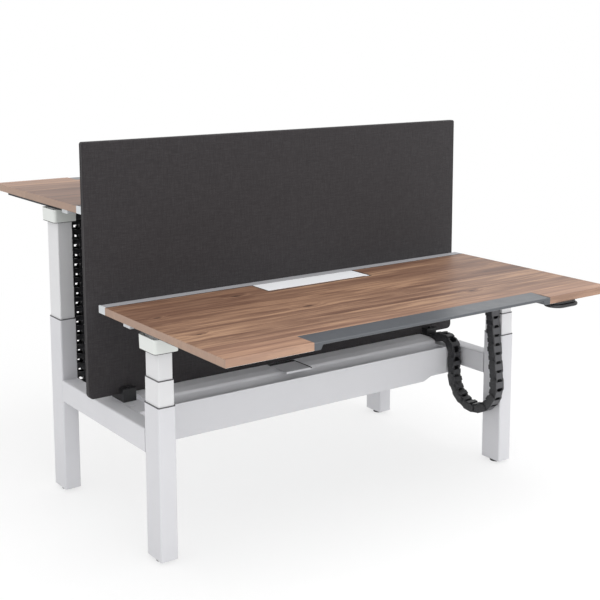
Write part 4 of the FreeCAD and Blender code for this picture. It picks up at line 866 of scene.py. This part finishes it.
# Matt white paper that fades into the surround away from the object
studio, tree, surface = start_material("white_floor", {"Base Color": linear("FAFAFA"), "Roughness": 0.9,
                                                      "Specular IOR Level": 0.1})
glow = add(tree, "Emission", {"Color": (1, 1, 1, 1), "Strength": 1})
spot = add(tree, "NewGeometry").outputs["Position"]
away = add(tree, "VectorMath", {"operation": "LENGTH"}, {0: spot}).outputs["Value"]
fade = add(tree, "MapRange", {"interpolation_type": "SMOOTHSTEP", "From Min": FADE_START,
                              "From Max": FADE_END, "To Min": FLOOR_WHITENING, "To Max": 1},
           {"Value": away})
share = add(tree, "Math", {"operation": "MULTIPLY"}, {0: seen_directly(tree), 1: fade.outputs["Result"]})
mixed = add(tree, "MixShader", None, {0: share.outputs["Value"], 1: surface.outputs["BSDF"],
                                      2: glow.outputs["Emission"]})
tree.links.new(mixed.outputs["Shader"], tree.nodes["Material Output"].inputs["Surface"])
floor_points = [(-FLOOR_HALF, -FLOOR_HALF, 0), (FLOOR_HALF, -FLOOR_HALF, 0), (FLOOR_HALF, FLOOR_HALF, 0),
                (-FLOOR_HALF, FLOOR_HALF, 0)]
floor = mesh_piece("studio_floor", floor_points, [[0, 1, 2, 3]], studio)

world = bpy.data.worlds.new("white_studio")
world.use_nodes = True
scene.world = world
strength = add(world.node_tree, "MapRange", {"To Min": AMBIENT, "To Max": 1},
               {"Value": seen_directly(world.node_tree)})
background = world.node_tree.nodes["Background"]
background.inputs["Color"].default_value = (1, 1, 1, 1)
world.node_tree.links.new(strength.outputs["Result"], background.inputs["Strength"])

for name, (spot, size, watts) in LAMPS.items():
    lamp = bpy.data.lights.new(name, "AREA")
    lamp.shape = "SQUARE"
    lamp.size = size
    lamp.energy = watts
    holder = bpy.data.objects.new(name, lamp)
    scene.collection.objects.link(holder)
    holder.location = spot
    holder.rotation_euler = (Vector(LAMP_AIM) - Vector(spot)).to_track_quat("-Z", "Y").to_euler()

# Camera at the photograph's angle, tilted down with a small lens shift. Angles in degrees,
# lens and sensor in millimetres.
CAMERA_SPOT = (-2.39673, -3.44768, 1.66643)
CAMERA_YAW = 35.4485
CAMERA_PITCH = -8.4019
CAMERA_ROLL = -0.122
CAMERA_LENS = 68.482
CAMERA_SENSOR = 36
CAMERA_SHIFT = -0.16
CAMERA_REACH = 100
lens = bpy.data.cameras.new("camera")
lens.lens = CAMERA_LENS
lens.sensor_width = CAMERA_SENSOR
lens.shift_y = CAMERA_SHIFT
lens.clip_end = CAMERA_REACH
camera = bpy.data.objects.new("camera", lens)
scene.collection.objects.link(camera)
camera.rotation_mode = "XYZ"
turned = (Matrix.Rotation(math.radians(-CAMERA_YAW), 4, "Z")
          @ Matrix.Rotation(math.radians(90 + CAMERA_PITCH), 4, "X")
          @ Matrix.Rotation(math.radians(CAMERA_ROLL), 4, "Z"))
camera.matrix_world = Matrix.Translation(CAMERA_SPOT) @ turned
scene.camera = camera
scene.view_settings.view_transform = "Standard"
